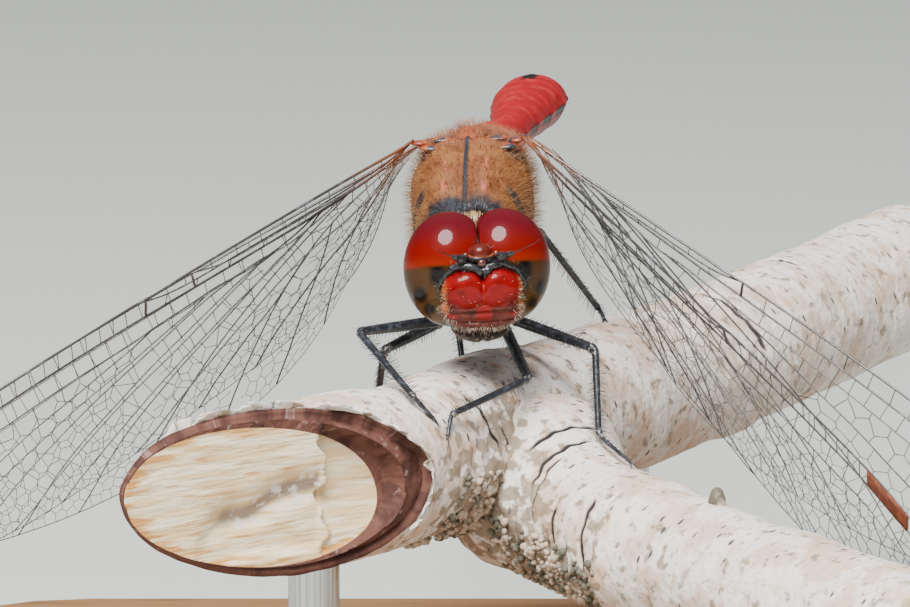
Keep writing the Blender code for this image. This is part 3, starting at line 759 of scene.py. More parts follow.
def membrane_slab(pair, label, start, end, depth, thickness, columns=120, rows=40):
    """The part of the membrane from start to end along the wing, and down to depth of the chord."""
    t = start + (end - start) * (1 - (1 - np.linspace(0, 1, columns)) ** 1.3)
    t, v = np.meshgrid(t, np.linspace(0, depth, rows), indexing="ij")
    return slab(on_wing(pair, label, t, v), thickness)


def main_veins(pair, label):
    """The main veins, the two edges and the short stout veins, as thick rods."""
    parts = []
    for name, points in VEINS[pair].items():
        t = np.linspace(points[0][0], min(points[-1][0], TIP), 60)
        path = on_wing(pair, label, t, np.clip(vein_depth(points, t), 0, 1))
        size = MAIN_RADIUS * (1.35 if name == "radius" else 1.0) * (1.15 - 0.5 * t)
        parts.append(rods(path[None], size[None], 5))
    t = TIP * (1 - (1 - np.linspace(0, 1, 140)) ** 1.3)
    costa = on_wing(pair, label, t, np.zeros_like(t))
    parts.append(rods(costa[None], (COSTA_RADIUS * (1 - 0.45 * t))[None], 6))
    margin = on_wing(pair, label, t, np.ones_like(t))
    parts.append(rods(margin[None], np.full((1, len(t)), NET_RADIUS * 1.2), 4))
    v = np.linspace(0, 1, 14)
    parts.append(rods(on_wing(pair, label, np.full_like(v, TIP), v)[None], NET_RADIUS * 1.3, 4))
    v = np.linspace(0, vein_depth(VEINS[pair]["radius"], np.array(NODUS[pair])), 6)
    parts.append(rods(on_wing(pair, label, np.full_like(v, NODUS[pair]), v)[None], MAIN_RADIUS * 1.7, 6))
    return joined(parts)


def net_veins(pair, label):
    """Each small vein as a rod of three places from one end to the other."""
    ends = NETS[pair]
    part = np.array((0.0, 0.5, 1.0))[None, :, None]
    path = ends[:, :1] * (1 - part) + ends[:, 1:] * part
    size = NET_RADIUS * (1.35 - 0.55 * path[..., 1])
    return rods(on_wing(pair, label, path[..., 0], path[..., 1]), size, 3)


def root_share(points, pair, label):
    """1 at the hinge and 0 beyond a few millimetres, for the reddish roots of the veins."""
    side = WING_SET[pair, label][0]
    away = np.linalg.norm(points - HINGES[pair] * np.array((side, 1, 1)), axis=1)
    return np.clip(1 - away / 4.5, 0, 1)


for pair, label in WING_SET:
    node = f"wing_{pair}_{label}"
    shape = membrane_slab(pair, label, 0.0, TIP, 1.0, MEMBRANE_THICKNESS)
    piece(f"{node}_membrane", shape, membrane, BODY, [node])
    shape = joined([main_veins(pair, label), net_veins(pair, label)])
    piece(f"{node}_veins", shape, vein, BODY, (), [("root", root_share(shape[0], pair, label))])
    shape = membrane_slab(pair, label, 0.0, AMBER_END[pair], 0.55, 2.2 * MEMBRANE_THICKNESS, 20, 20)
    piece(f"{node}_amber", shape, amber, BODY, ())
    start, end = STIGMA_SPAN[pair]
    t, v = np.meshgrid(np.linspace(start, end, 20), np.linspace(0, 1, 6), indexing="ij")
    v = v * vein_depth(VEINS[pair]["radius"], t)
    piece(f"{node}_stigma", slab(on_wing(pair, label, t, v), 0.09), stigma, BODY, ())

# %% [markdown]
# ## Head: shapes
# The two eyes nearly fill the head. Each is part of an ellipsoid whose inner side is pressed flat where the
# eyes meet, and whose back is pressed flat against the occiput. A soft press keeps the surface smooth:
# past a limit, a coordinate creeps towards the limit instead of crossing it.

# %% Shape helpers
def ball(centre, radii, rows=40, columns=64, pole=2):
    """Ellipsoid: the radii times cosine and sine of two angles. Its poles lie on the given axis."""
    theta = np.linspace(0, np.pi, rows + 2)[1:-1, None]
    phi = circle(columns)
    unit = (np.sin(theta) * np.cos(phi), np.sin(theta) * np.sin(phi), np.cos(theta) + 0 * phi)
    rings = np.stack(unit, axis=-1)[..., np.roll(np.arange(3), pole + 1)]
    return tube_mesh(rings * np.array(radii) + np.array(centre))


def press(values, limit, softness):
    """The smaller of value and limit, rounded: limit minus softness times log(1 + exp of the rest)."""
    return limit - softness * np.logaddexp(0, (limit - values) / softness)


def ripple(points, scale, seed):
    """Smooth uneven numbers from -1 to 1: a mean of sines along eight random directions."""
    rng = np.random.default_rng(seed)
    waves = rng.normal(size=(3, 8)) * scale
    return np.sin(points @ waves + rng.uniform(0, 6.3, 8)).mean(axis=-1) * 1.6


def along_path(points, count):
    """Count places on a smooth curve through a few points."""
    last = len(points) - 1
    return cubic(np.arange(last + 1), points, np.linspace(0, last, count))


def bristles(roots, directions, length, radius, seed, droop=0.0, spread=0.25):
    """Tapered hairs: each is a rod of three places from its root along a slightly random direction."""
    rng = np.random.default_rng(seed)
    count = len(roots)
    ways = directions + rng.normal(0, spread, (count, 3))
    ways /= np.linalg.norm(ways, axis=1, keepdims=True)
    reach = (length * rng.uniform(0.65, 1.25, count))[:, None]
    sag = np.array((0, 0, -1.0)) * droop * reach
    middle = roots + ways * reach * 0.5 + sag * 0.25
    paths = np.stack((roots - ways * radius, middle, roots + ways * reach + sag), axis=1)
    return rods(paths, radius * np.array((1.0, 0.7, 0.12)))


PATCH = 0.003                        # of the map for baked colours


def patches(places):
    """A round patch on the map for each bristle, at its root's place: one corner for each of its points."""
    corner = np.tile(circle(9), len(places))
    return places.repeat(9, axis=0) + PATCH / 2 * np.stack((np.cos(corner), np.sin(corner)), axis=1)


def scatter(shape, columns, count, seed, keep):
    """Random places on a tube_mesh, by area times keep(points), with outward directions and the places'
    row and column as two shares, which unwrap the skin."""
    points, faces = shape
    rng = np.random.default_rng(seed)
    corners = points[faces[0]]
    normal = np.cross(corners[:, 2] - corners[:, 0], corners[:, 3] - corners[:, 1])
    if signed_volume(points - points.mean(axis=0), faces) < 0:
        normal = -normal
    area = np.linalg.norm(normal, axis=1)
    chance = area * keep(corners.mean(axis=1))
    pick = rng.choice(len(area), count, p=chance / chance.sum())
    u, v = rng.uniform(0, 1, (2, count, 1))
    a, b, c, d = corners[pick].transpose(1, 0, 2)
    roots = a * (1 - u) * (1 - v) + b * (1 - u) * v + c * u * v + d * u * (1 - v)
    rows = len(faces[0]) // columns
    unwrapped = np.stack(((pick // columns + u[:, 0]) / rows, (pick % columns + v[:, 0]) / columns), axis=1)
    return roots, normal[pick] / area[pick][:, None], unwrapped


# %% Eyes
EYE_CENTRE, EYE_RADII, EYE_BACK = (1.07, 0.0, 0.03), (1.86, 1.75, 2.32), 0.95
EYE_BOUNDARY = (0.08, 0.37)          # height at the side, and rise per millimetre towards the front
EYE_SPOTS = ((1.72, 0.28, 0.46), (2.40, -0.65, 0.34),     # distance from the middle, height, half width
             (1.35, -0.35, 0.42), (2.05, -1.25, 0.30))
SPOT_FLATNESS = 0.65


def eye_shape(side):
    """Ellipsoid with its inner side pressed to the middle plane and its back pressed to EYE_BACK."""
    points, faces = ball(EYE_CENTRE, EYE_RADII, 90, 110, pole=0)
    points[:, 0] = -press(-points[:, 0], -0.03, 0.03)
    points[:, 1] = press(points[:, 1], EYE_BACK, 0.06)
    return points * np.array((side, 1, 1)), faces


def eye_finish(side):
    """Deep red above a sloping boundary, brown-olive below, with dark spots and a pale hind rim."""
    eye = Finish(f"eye_{'left' if side < 0 else 'right'}", Roughness=0.35, Coat_Weight=0.4,
                 Coat_Roughness=0.03, Coat_IOR=1.46, Specular_IOR_Level=0.05)
    low, slope = EYE_BOUNDARY
    height = eye.minus(eye.axis(2), eye.plus(eye.times(eye.axis(1), -slope), low))
    height = eye.ragged(height, 0.9, 0.18)
    eye.coat((0.150, 0.0035, 0.0014))
    # darker red on top of each eye, with a purple cast that is a painted reflection of the sky's sheen
    eye.coat((0.085, 0.002, 0.006), eye.step(height, 0.6, 1.9))
    eye.coat((0.21, 0.014, 0.003), eye.step(height, 0.65, 0.15), 0.7)
    eye.coat((0.050, 0.019, 0.004), eye.step(height, 0.22, 0.00))
    eye.coat((0.085, 0.040, 0.010), eye.step(height, -0.5, -1.6), 0.8)
    for x, z, width in EYE_SPOTS:
        away = eye.nodes.new("ShaderNodeVectorMath")
        away.operation = "DISTANCE"
        eye.put(away.inputs[0], eye.stretched((1.0, 0.0, SPOT_FLATNESS)))
        away.inputs[1].default_value = (side * x, 0.0, z * SPOT_FLATNESS)
        spot = eye.step(away.outputs["Value"], width, 0.35 * width)
        eye.coat((0.003, 0.002, 0.002), spot, eye.step(height, 0.14, 0.0))
    eye.coat((0.22, 0.15, 0.06), eye.beyond(1, 0.80, 0.92))
    eye.relief(eye.cells(17.0), 0.0022)
    return eye


for side, label in SIDES:
    piece(f"eye_{label}_dome", eye_shape(side), eye_finish(side), HEAD, [f"eye_{label}"])

# %% [markdown]
# ## Head: the face
# Between and below the eyes sits the face: the glossy red frons with its two lobes and a notch above, then
# the clypeus and the lip as bands, and the dark mouth. A ray from a centre meets each lobe's ellipsoid once,
# and a soft maximum of the two distances gives one skin with a groove between the lobes. The bands are
# rings in level planes, whose front bulges and draws in from the nose down to the lip.

# %% Frons
LOBE_CENTRE, LOBE_RADII = np.array((0.55, -0.16, 0.02)), np.array((1.08, 1.00, 0.93))
FRONS_MIDDLE = np.array((0.0, -1.36, -0.40))
NOTCH_DEPTH, NOTCH_WIDTH, FRONS_FRONT = 0.34, 0.19, -2.36


def frons_shape(rows=90, columns=130):
    """Distance along each ray to both lobes, joined by a soft maximum, less a notch at the top."""
    theta = np.linspace(0, np.pi, rows + 2)[1:-1, None]
    phi = circle(columns)
    ray = (np.cos(theta) + 0 * phi, np.sin(theta) * np.cos(phi), np.sin(theta) * np.sin(phi))
    ray = np.stack(ray, axis=-1)
    reach = []
    for side in (-1, 1):
        centre = LOBE_CENTRE * (side, 1, 1) / LOBE_RADII
        way = ray / LOBE_RADII
        a, b, c = (way**2).sum(-1), (way * centre).sum(-1), (centre**2).sum() - 1
        reach.append((b + np.sqrt(b**2 - a * c)) / a)
    far = np.logaddexp(reach[0] * 16, reach[1] * 16) / 16
    points = ray * far[..., None]
    upper = ramp(points[..., 2] + 0.1, 0.8)
    far = far - NOTCH_DEPTH * upper * np.exp(-np.abs(points[..., 0] / NOTCH_WIDTH) ** 1.5)
    points = ray * far[..., None] + FRONS_MIDDLE
    points[..., 1] = -press(-points[..., 1], -FRONS_FRONT, 0.10)
    points += (0.012 * ripple(points, 4.0, 5))[..., None] * ray
    return tube_mesh(points)


frons = Finish("frons", Roughness=0.40, Coat_Weight=0.32, Coat_Roughness=0.10, Specular_IOR_Level=0.05,
               Subsurface_Weight=0.08)
frons.shader.inputs["Subsurface Radius"].default_value = (0.6 * MM, 0.1 * MM, 0.05 * MM)
frons.coat((0.20, 0.0022, 0.003)).coat((0.12, 0.0015, 0.002), frons.spots(0.45, 0.7, 2.2))
sideways = frons.absolute(frons.axis(0))
frons.coat((0.38, 0.085, 0.016), frons.step(frons.ragged(sideways, 3, 0.25), 1.45, 1.72))
frons.coat((0.30, 0.065, 0.04), frons.step(frons.ragged(frons.axis(2), 2, 0.2), -0.88, -1.02))
frons.coat((0.30, 0.003, 0.004), frons.step(sideways, 0.05, 0.0), frons.beyond(2, 0.1, -0.3))
frons.relief(frons.noise(7.0, 4.0), 0.012).relief(frons.cells(11.0), 0.004)
piece("frons_lobes", frons_shape(), frons, HEAD, ["frons"])

# %% Clypeus, lip and mouth
FACE_STATIONS = np.array((       # level, half width, front
    (-0.60, 1.40, -1.80), (-0.88, 1.60, -2.20), (-1.08, 1.66, -2.26), (-1.22, 1.64, -2.15),
    (-1.36, 1.63, -2.20), (-1.52, 1.58, -2.15), (-1.62, 1.50, -2.05), (-1.74, 1.44, -2.08),
    (-1.90, 1.30, -1.98), (-2.02, 1.12, -1.80), (-2.08, 0.85, -1.50)))
FACE_BACK = -0.95


def band_shape(first, last, seed, rows=46, columns=120):
    """Rings in level planes between two stations. Each is a superellipse with its wide side in front."""
    rings = along_path(FACE_STATIONS[first:last], rows)
    angle = circle(columns)
    power = 2 / 3.2
    x = squared(np.cos(angle), power)
    y = squared(np.sin(angle), power)
    depth = np.where(y < 0, FACE_BACK - rings[:, 2:], 0.35)
    points = np.stack((rings[:, 1:2] * x, FACE_BACK + depth * y, rings[:, :1] + 0 * x), axis=-1)
    sag = 0.10 * x[None] ** 2 * np.clip((points[..., 2] + 1.0) / -1.0, 0, 1)
    points[..., 2] += sag
    crumple = ripple(points * np.array((1.0, 0.4, 2.4)), 3.2, seed)
    points[..., 1] += 0.035 * crumple * (y < 0)
    return tube_mesh(points)


clypeus = Finish("clypeus", Roughness=0.38, Coat_Weight=0.25, Coat_Roughness=0.2, Specular_IOR_Level=0.2)
centre = clypeus.absolute(clypeus.axis(0))
clypeus.coat((0.115, 0.020, 0.013)).coat((0.055, 0.009, 0.007), clypeus.spots(0.42, 0.62, 3.5))
clypeus.coat((0.20, 0.004, 0.004), clypeus.step(clypeus.ragged(centre, 4, 0.2), 0.50, 0.30),
             clypeus.beyond(2, -1.72, -1.56))
clypeus.coat((0.38, 0.10, 0.022), clypeus.step(centre, 1.30, 1.50), clypeus.beyond(2, -1.34, -1.20))
clypeus.coat((0.19, 0.008, 0.006), clypeus.step(centre, 0.90, 1.15), clypeus.beyond(2, -1.20, -1.34))
clypeus.relief(clypeus.noise(6.0, 5.0), 0.03)
piece("clypeus_band", band_shape(0, 7, 3), clypeus, HEAD, ["clypeus"])

lip = speckled("lip", (0.095, 0.017, 0.012), (0.17, 0.045, 0.028), 0.5, 0.65, 5.0, Roughness=0.42,
               Coat_Weight=0.2, Coat_Roughness=0.25, Specular_IOR_Level=0.2)
lip.coat((0.03, 0.01, 0.008), lip.beyond(2, -1.94, -2.02))
lip.relief(lip.noise(7.0, 5.0), 0.04)
piece("labrum_plate", band_shape(5, 11, 8), lip, HEAD, ["labrum"])


def mouth_shape():
    """A rounded box for the lower lip, split by a shallow groove in the middle and one across."""
    points, faces = ball((0, -0.62, -2.16), (1.20, 1.14, 0.64), 50, 80)
    points[:, 2] += 0.08 * groove(points[:, 0], 0.10) * (points[:, 2] < -2.3)
    points[:, 1] += 0.10 * groove(points[:, 2] + 2.22, 0.08) * (points[:, 1] < -0.6)
    return points + 0.02 * ripple(points, 5.0, 9)[:, None] * (0, 1, 0), faces


mouth = speckled("mouth", (0.016, 0.010, 0.009), (0.09, 0.03, 0.018), 0.52, 0.7, 2.6, Roughness=0.45,
                 Specular_IOR_Level=0.2, Coat_Weight=0.08, Coat_Roughness=0.2)
mouth.relief(mouth.noise(8.0, 4.0), 0.03)
piece("labium_plate", mouth_shape(), mouth, HEAD, ["labium"])

# %% [markdown]
# ## Head: crown, feelers and bristles
# The vertex is a small shiny bump between the eyes, with a simple eye in front of it and one on each side.
# A warty black band frames the top of the frons. The feelers are two thick rings with a hair-fine end.
# Short bristles edge the face and fringe the mouth.

# %% Crown
crown = Finish("crown", Roughness=0.35, Coat_Weight=0.3, Coat_Roughness=0.12, Specular_IOR_Level=0.2)
crown.coat((0.095, 0.009, 0.005)).coat((0.22, 0.050, 0.016), crown.beyond(2, 1.08, 0.98))
crown.coat((0.020, 0.014, 0.014), crown.beyond(2, 0.99, 0.94))
crown.relief(crown.noise(6.0), 0.01)
bump = ball((0, -1.46, 1.06), (0.45, 0.42, 0.38), 40, 60)
base = ball((0, -1.48, 0.88), (0.60, 0.42, 0.22), 24, 48)
piece("vertex_bump", joined([bump, base]), crown, HEAD, ["vertex"])

bead = speckled("simple_eye", (0.075, 0.012, 0.010), (0.12, 0.03, 0.02), 0.4, 0.7, 5.0,
                Roughness=0.12, Coat_Weight=1.0)
ocelli = [ball((0, -1.97, 0.76), (0.17, 0.12, 0.15), 16, 24)]
ocelli += [ball((side * 0.60, -1.68, 1.04), (0.11, 0.10, 0.12), 14, 20) for side in (-1, 1)]
piece("simple_eyes", joined(ocelli), bead, HEAD, ())

black = speckled("black_plate", (0.010, 0.011, 0.014), (0.05, 0.055, 0.07), 0.50, 0.72, 5.0, Roughness=0.30,
                 Coat_Weight=0.5, Coat_Roughness=0.15)
black.relief(black.noise(9.0, 4.0), 0.03).relief(black.cells(7.0), 0.03)
BAND = ((-1.74, -1.50, -0.75), (-1.68, -1.60, -0.18), (-1.40, -1.68, 0.30), (-0.92, -1.78, 0.64),
        (-0.42, -1.92, 0.62), (0.0, -1.96, 0.44), (0.42, -1.92, 0.62), (0.92, -1.78, 0.64),
        (1.40, -1.68, 0.30), (1.68, -1.60, -0.18), (1.74, -1.50, -0.75))
BAND_RADIUS = 0.17


def warty_band():
    """A rope through BAND, thinner at both ends, with small warts all over it."""
    path = along_path(BAND, 150)
    share = np.sin(np.linspace(0, np.pi, 150)) ** 1.2
    points, faces = rods(path[None], (BAND_RADIUS * (0.25 + 0.75 * share))[None], 24)
    spine = np.repeat(path, 24, axis=0)
    return spine + (points - spine) * (1 + 0.34 * ripple(points, 10.0, 4))[:, None], faces


piece("warty_band", warty_band(), black, HEAD, ())

FEELER_ROOT, FEELER_LEAN, FEELER_LENGTH = np.array((0.70, -1.80, 0.90)), np.array((0.55, -0.75, 0.36)), 2.6
for side, label in SIDES:
    way = FEELER_LEAN / np.linalg.norm(FEELER_LEAN) * (side, 1, 1)
    root = FEELER_ROOT * (side, 1, 1)
    where = np.array((0.0, 0.04, 0.10, 0.17, 0.19, 0.23, 0.30, 0.34, 0.36, 0.6, 0.8, 1.0))
    size = np.array((0.17, 0.21, 0.20, 0.14, 0.10, 0.13, 0.12, 0.08, 0.024, 0.018, 0.013, 0.006))
    path = root + way * (where * FEELER_LENGTH)[:, None] + np.array((0, 0, 0.25)) * (where**2)[:, None]
    piece(f"antenna_{label}_bristle", rods(path[None], size[None], 14), black, HEAD,
          [f"antenna_{label}"])

# %% Capsule, occiput and neck
capsule = speckled("capsule", (0.020, 0.017, 0.014), (0.26, 0.17, 0.05), 0.52, 0.60, 0.8, 1.0,
                   Roughness=0.38, Coat_Weight=0.2)
capsule.relief(capsule.noise(5.0, 4.0), 0.03)
skull = ball((0, 0.05, -0.30), (1.15, 1.40, 1.80), 40, 60)
nape = ball((0, 1.22, -0.05), (2.45, 0.42, 2.10), 50, 90)
neck = ball((-0.05, 1.95, 0.05), (0.62, 0.75, 0.62), 24, 40)
cheeks = [ball((side * 0.95, -0.55, -1.35), (0.80, 0.90, 0.80), 30, 40) for side in (-1, 1)]
piece("head_back", joined([skull, nape, neck, *cheeks]), capsule, HEAD, ["head_capsule"])

tan = speckled("occiput", (0.34, 0.22, 0.09), (0.13, 0.06, 0.03), 0.5, 0.68, 4.0,
               Roughness=0.4, Coat_Weight=0.3)
tan.relief(tan.noise(6.0, 4.0), 0.03)
piece("occiput_plate", ball((0, 0.48, 1.70), (0.80, 0.50, 0.52), 30, 50), tan, HEAD, ())

# %% [markdown]
# Stiff bristles stand on the face: pale ones along its edges, in a row on the lip and round the mouth, and
# dark ones on the warty band, the vertex and the occiput. They are the shortest hairs of the body.

# %% Face bristles
pale = speckled("pale_bristle", (0.68, 0.58, 0.46), (0.50, 0.36, 0.24), 0.5, 0.65, 2.0, Roughness=0.4)
dusky = speckled("dark_bristle", (0.030, 0.030, 0.036), (0.20, 0.20, 0.22), 0.52, 0.62, 3.0, Roughness=0.35)


def tufts(name, shape, columns, count, length, radius, finish, keep, lean=(0, 0, 0), seed=1):
    """Bristles on the part of a skin where keep is 1."""
    roots, outward, unwrapped = scatter(shape, columns, count, seed, keep)
    hairs = bristles(roots, outward + np.array(lean), length, radius, seed + 1)
    piece(name, hairs, finish, HEAD, (), bake=patches(unwrapped))


def front(points):
    """The places on the front of the face."""
    return points[:, 1] < -1.25


tufts("clypeus_bristles", band_shape(0, 7, 3), 120, 150, 0.19, 0.008, pale,
      lambda p: front(p) * (np.abs(p[:, 0]) > 1.15), (0, -0.2, -0.3), 81)
tufts("lip_bristles", band_shape(5, 11, 8), 120, 210, 0.16, 0.009, pale,
      lambda p: front(p) * (p[:, 2] < -1.85) + 0.15 * front(p), (0, -0.4, -0.6), 82)
tufts("frons_bristles", frons_shape(), 130, 150, 0.13, 0.007, pale,
      lambda p: front(p) * (0.08 + (np.abs(p[:, 0]) > 1.38)), (0, -0.3, 0.0), 83)
tufts("frons_dark_bristles", frons_shape(), 130, 90, 0.14, 0.007, dusky, front, (0, 0, 0.4), 84)
tufts("mouth_bristles", mouth_shape(), 80, 170, 0.17, 0.009, pale,
      lambda p: p[:, 1] < -0.9, (0, -0.3, -0.5), 85)
tufts("band_bristles", warty_band(), 24, 300, 0.22, 0.011, dusky, lambda p: np.ones(len(p)),
      (0, -0.5, 0.3), 86)
tufts("vertex_bristles", bump, 60, 26, 0.22, 0.010, dusky, lambda p: p[:, 1] < -1.3, (0, 0, 0.3), 87)
tufts("occiput_bristles", ball((0, 0.48, 1.70), (0.80, 0.50, 0.52), 30, 50), 50, 170, 0.42, 0.012, dusky,
      lambda p: (p[:, 2] > 1.9), (0, 0.1, 0.5), 88)

# %% [markdown]
# ## Thorax
# The thorax is a tall box with rounded edges that carries the wings and legs. A row of sections, each a
# superellipse, gives its form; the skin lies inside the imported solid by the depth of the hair. Low ridges
# and grooves are laid on as displacement: the black keel down the middle of the back, the sutures down the
# sides, and the plates between the wing hinges.

# %% Thorax skin
THORAX_STATIONS = np.array((     # distance back, middle level, half height, half width
    (2.85, 0.15, 1.30, 1.30), (3.60, 0.22, 2.15, 2.10), (4.80, 0.50, 2.95, 2.55), (6.20, 0.72, 3.30, 2.65),
    (7.80, 0.85, 3.10, 2.55), (9.30, 0.95, 2.55, 2.20), (10.50, 1.05, 1.90, 1.75), (11.30, 1.10, 1.38, 1.38)))
THORAX_SQUARENESS = 2.5
COAT_DEPTH = 0.22
# the sutures' distance back, lean, depth and width, and the share of the half width where each starts
SUTURES = (
    (4.55, 0.30, 0.14, 0.13, 0.5), (6.70, 0.42, 0.12, 0.13, 0.6), (8.40, 0.42, 0.12, 0.14, 0.6))


def through(stations, where):
    """Cubic through a table of stations, whose first column is the place and the rest are values."""
    return cubic(stations[:, 0], stations[:, 1:], where)


def thorax_surface(y, angle):
    """Superellipse sections along the body; the angle goes round from the left side over the top. The
    keel adds a ridge, the sutures take away, and the two shoulders swell."""
    middle, half_height, half_width = through(THORAX_STATIONS, y.ravel()).T.reshape(3, *y.shape)
    taper = np.sqrt(1 - np.clip((y - 10.85) / 0.47, 0, 0.97) ** 2)
    half_height, half_width = half_height * taper, half_width * taper
    power = 2 / THORAX_SQUARENESS
    x = -squared(np.cos(angle), power)
    z = squared(np.sin(angle), power)
    inset = COAT_DEPTH * ramp(11.2 - y, 0.6)
    points = np.stack((x * (half_width - inset), y, middle + z * (half_height - inset)), axis=-1)
    outward = np.stack((x, 0 * x, z), axis=-1)
    top = np.clip(z, 0, 1)
    low = middle - points[..., 2]
    lift = 0.07 * groove(points[..., 0], 0.07) * (y < 6.3) * top
    lift -= 0.12 * groove(np.abs(points[..., 0]) - 0.20, 0.15) * (y < 6.3) * top
    for start, lean, depth, width, inner in SUTURES:
        lift -= depth * groove(y - start - lean * low, width) * (np.abs(x) > inner)
    valley = ramp(y - 5.9, 0.5) * ramp(10.2 - y, 0.6)
    lift -= (0.24 * valley * top * (1 - groove(points[..., 0], 0.55))
             * groove(np.abs(points[..., 0]) - 0.95, 0.40))
    lift += 0.16 * groove(y - 5.75, 0.16) * top
    lift += 0.10 * groove(y - 7.45, 0.28) * groove(points[..., 0], 0.7) * top
    lift += 0.030 * ripple(points, 1.6, 21)
    return points + outward * lift[..., None]


def thorax_shape(rows=210, columns=240):
    """The thorax's surface on an even grid of places back and angles round, as one closed tube."""
    y = np.linspace(THORAX_STATIONS[0, 0], THORAX_STATIONS[-1, 0], rows)[:, None]
    angle = circle(columns)[None]
    y, angle = np.broadcast_arrays(y, angle)
    return tube_mesh(thorax_surface(y, angle))


def thorax_finish(name, hair):
    """The markings of the thorax, for its skin and for the hairs alike."""
    skin = Finish(name, Roughness=0.75 if hair else 0.55,
                  Specular_IOR_Level=0.08 if hair else 0.15)
    across = skin.absolute(skin.axis(0))
    back, level = skin.axis(1), skin.axis(2)
    blotch = skin.noise(1.1, 4.0)
    light = 1.12 if hair else 0.95

    def shade(*colour):
        """A colour times the light of the coat or of the skin, held to 1."""
        return tuple(min(1.0, channel * light) for channel in colour)

    skin.coat(shade(0.25, 0.100, 0.034)).coat(shade(0.18, 0.058, 0.020), skin.step(blotch, 0.40, 0.62))
    skin.coat(shade(0.36, 0.165, 0.055), skin.step(level, 1.0, -0.8), 0.7)
    streak = skin.absolute(skin.minus(across, 0.85))
    streak = skin.plus(streak, skin.noise(2.5))
    skin.coat(shade(0.40, 0.11, 0.065), skin.step(streak, 0.58, 0.44), skin.step(back, 6.2, 5.4))
    skin.coat(shade(0.30, 0.08, 0.035), skin.step(back, 5.5, 6.2), skin.step(level, 2.4, 3.1))
    keel = skin.times(skin.step(across, 0.13, 0.05), skin.step(back, 6.25, 5.9))
    collar = skin.step(skin.ragged(back, 2.0, 0.5), 3.95, 3.60)
    dark = skin.larger(keel, collar)
    for start, lean, *_ in SUTURES:
        line = skin.absolute(skin.minus(skin.minus(back, start), skin.times(skin.minus(0.75, level), lean)))
        line = skin.times(skin.step(line, 0.20, 0.07), skin.step(across, 1.5, 1.9))
        dark = skin.larger(dark, line)
    cross = skin.times(skin.step(skin.absolute(skin.minus(back, 6.02)), 0.16, 0.06),
                       skin.step(level, 2.6, 3.0))
    dark = skin.larger(dark, cross)
    pits = skin.times(skin.spots(0.56, 0.62, 2.2, 2.0),
                      skin.times(skin.step(back, 6.0, 6.4), skin.step(level, 2.2, 2.7)))
    dark = skin.larger(dark, skin.times(pits, skin.step(across, 0.35, 0.6)))
    skin.coat((0.020, 0.022, 0.030) if not hair else (0.055, 0.050, 0.050), dark)
    if hair:
        skin.coat((0.60, 0.42, 0.25), skin.spots(0.1, 1.5, 0.8))
    else:
        skin.relief(skin.noise(3.0, 5.0), 0.05).relief(skin.cells(9.0), 0.012)
    return skin


thorax_skin = thorax_finish("thorax_skin", hair=False)
piece("thorax_skin", thorax_shape(), thorax_skin, BODY, ["thorax"])

# %% [markdown]
# The collar, or prothorax, is a narrow dark ring with a pale hind lobe, between the head and the thorax.
# The wing sockets are small shiny plates, red and blue-black, on which the wings turn.

# %% Collar and wing sockets
ring = speckled("collar", (0.018, 0.018, 0.024), (0.24, 0.12, 0.04), 0.55, 0.66, 1.4,
                Roughness=0.35, Coat_Weight=0.4)
ring.relief(ring.noise(6.0, 4.0), 0.04)
collar_points, collar_faces = ball((0, 2.3, 0.25), (1.28, 0.46, 1.33), 50, 90, pole=1)
collar_points[:, 1] -= 0.10 * groove(np.hypot(collar_points[:, 0], collar_points[:, 2] - 0.25) - 0.85, 0.12)
piece("collar_ring", (collar_points, collar_faces), ring, BODY, ["prothorax"])

socket = speckled("socket", (0.27, 0.045, 0.020), (0.44, 0.12, 0.025), 0.50, 0.60, 2.2, Roughness=0.28,
                  Coat_Weight=0.5, Coat_Roughness=0.12)
socket.coat((0.025, 0.030, 0.045), socket.spots(0.50, 0.56, 2.6, 2.0))
socket.relief(socket.noise(5.0, 4.0), 0.04)
SOCKET_PLATES = (                # centre and radii of each plate on the right side
    ((1.50, 5.95, 3.42), (0.52, 0.40, 0.16)), ((1.98, 6.10, 3.60), (0.34, 0.30, 0.13)),
    ((1.10, 6.40, 3.62), (0.48, 0.24, 0.11)), ((1.55, 7.30, 3.24), (0.46, 0.50, 0.16)),
    ((1.52, 8.60, 2.78), (0.56, 0.44, 0.18)), ((1.90, 8.80, 2.92), (0.34, 0.30, 0.14)),
    ((1.05, 8.95, 2.94), (0.46, 0.28, 0.13)))
for side, label in SIDES:
    plates = joined([ball(np.array(at) * (side, 1, 1), size, 20, 30) for at, size in SOCKET_PLATES])
    plates = plates[0] + 0.05 * ripple(plates[0], 3.0, 31)[:, None] * (0, 0, 1), plates[1]
    piece(f"wing_sockets_{label}", plates, socket, BODY, ())

# %% [markdown]
# ## Hair on the thorax
# Fine pale hairs cover the thorax and make a soft fringe against the light. Each is a three-sided rod
# of three places, rooted in the skin, leaning back and outwards. Each hair also carries a small patch on
# a map of the thorax, for baked colours: how far back its root is, and how far round.

# %% Thorax hairs
HAIR_COUNT, HAIR_LENGTH, HAIR_RADIUS = 7500, 0.54, 0.007
THORAX_LENGTH = 8.45


def on_thorax(y, angle):
    """Places on the skin and the outward directions there, from small steps both ways."""
    here = thorax_surface(y, angle)
    step_y = thorax_surface(y + 0.02, angle) - here
    step_angle = thorax_surface(y, angle + 0.01) - here
    outward = np.cross(step_y, step_angle)
    outward /= np.linalg.norm(outward, axis=-1, keepdims=True) + 1e-12
    middle = np.stack((0 * y, y, 0.7 + 0 * y), axis=-1)
    outward *= np.sign(((here - middle) * outward).sum(-1))[..., None]
    return here, outward


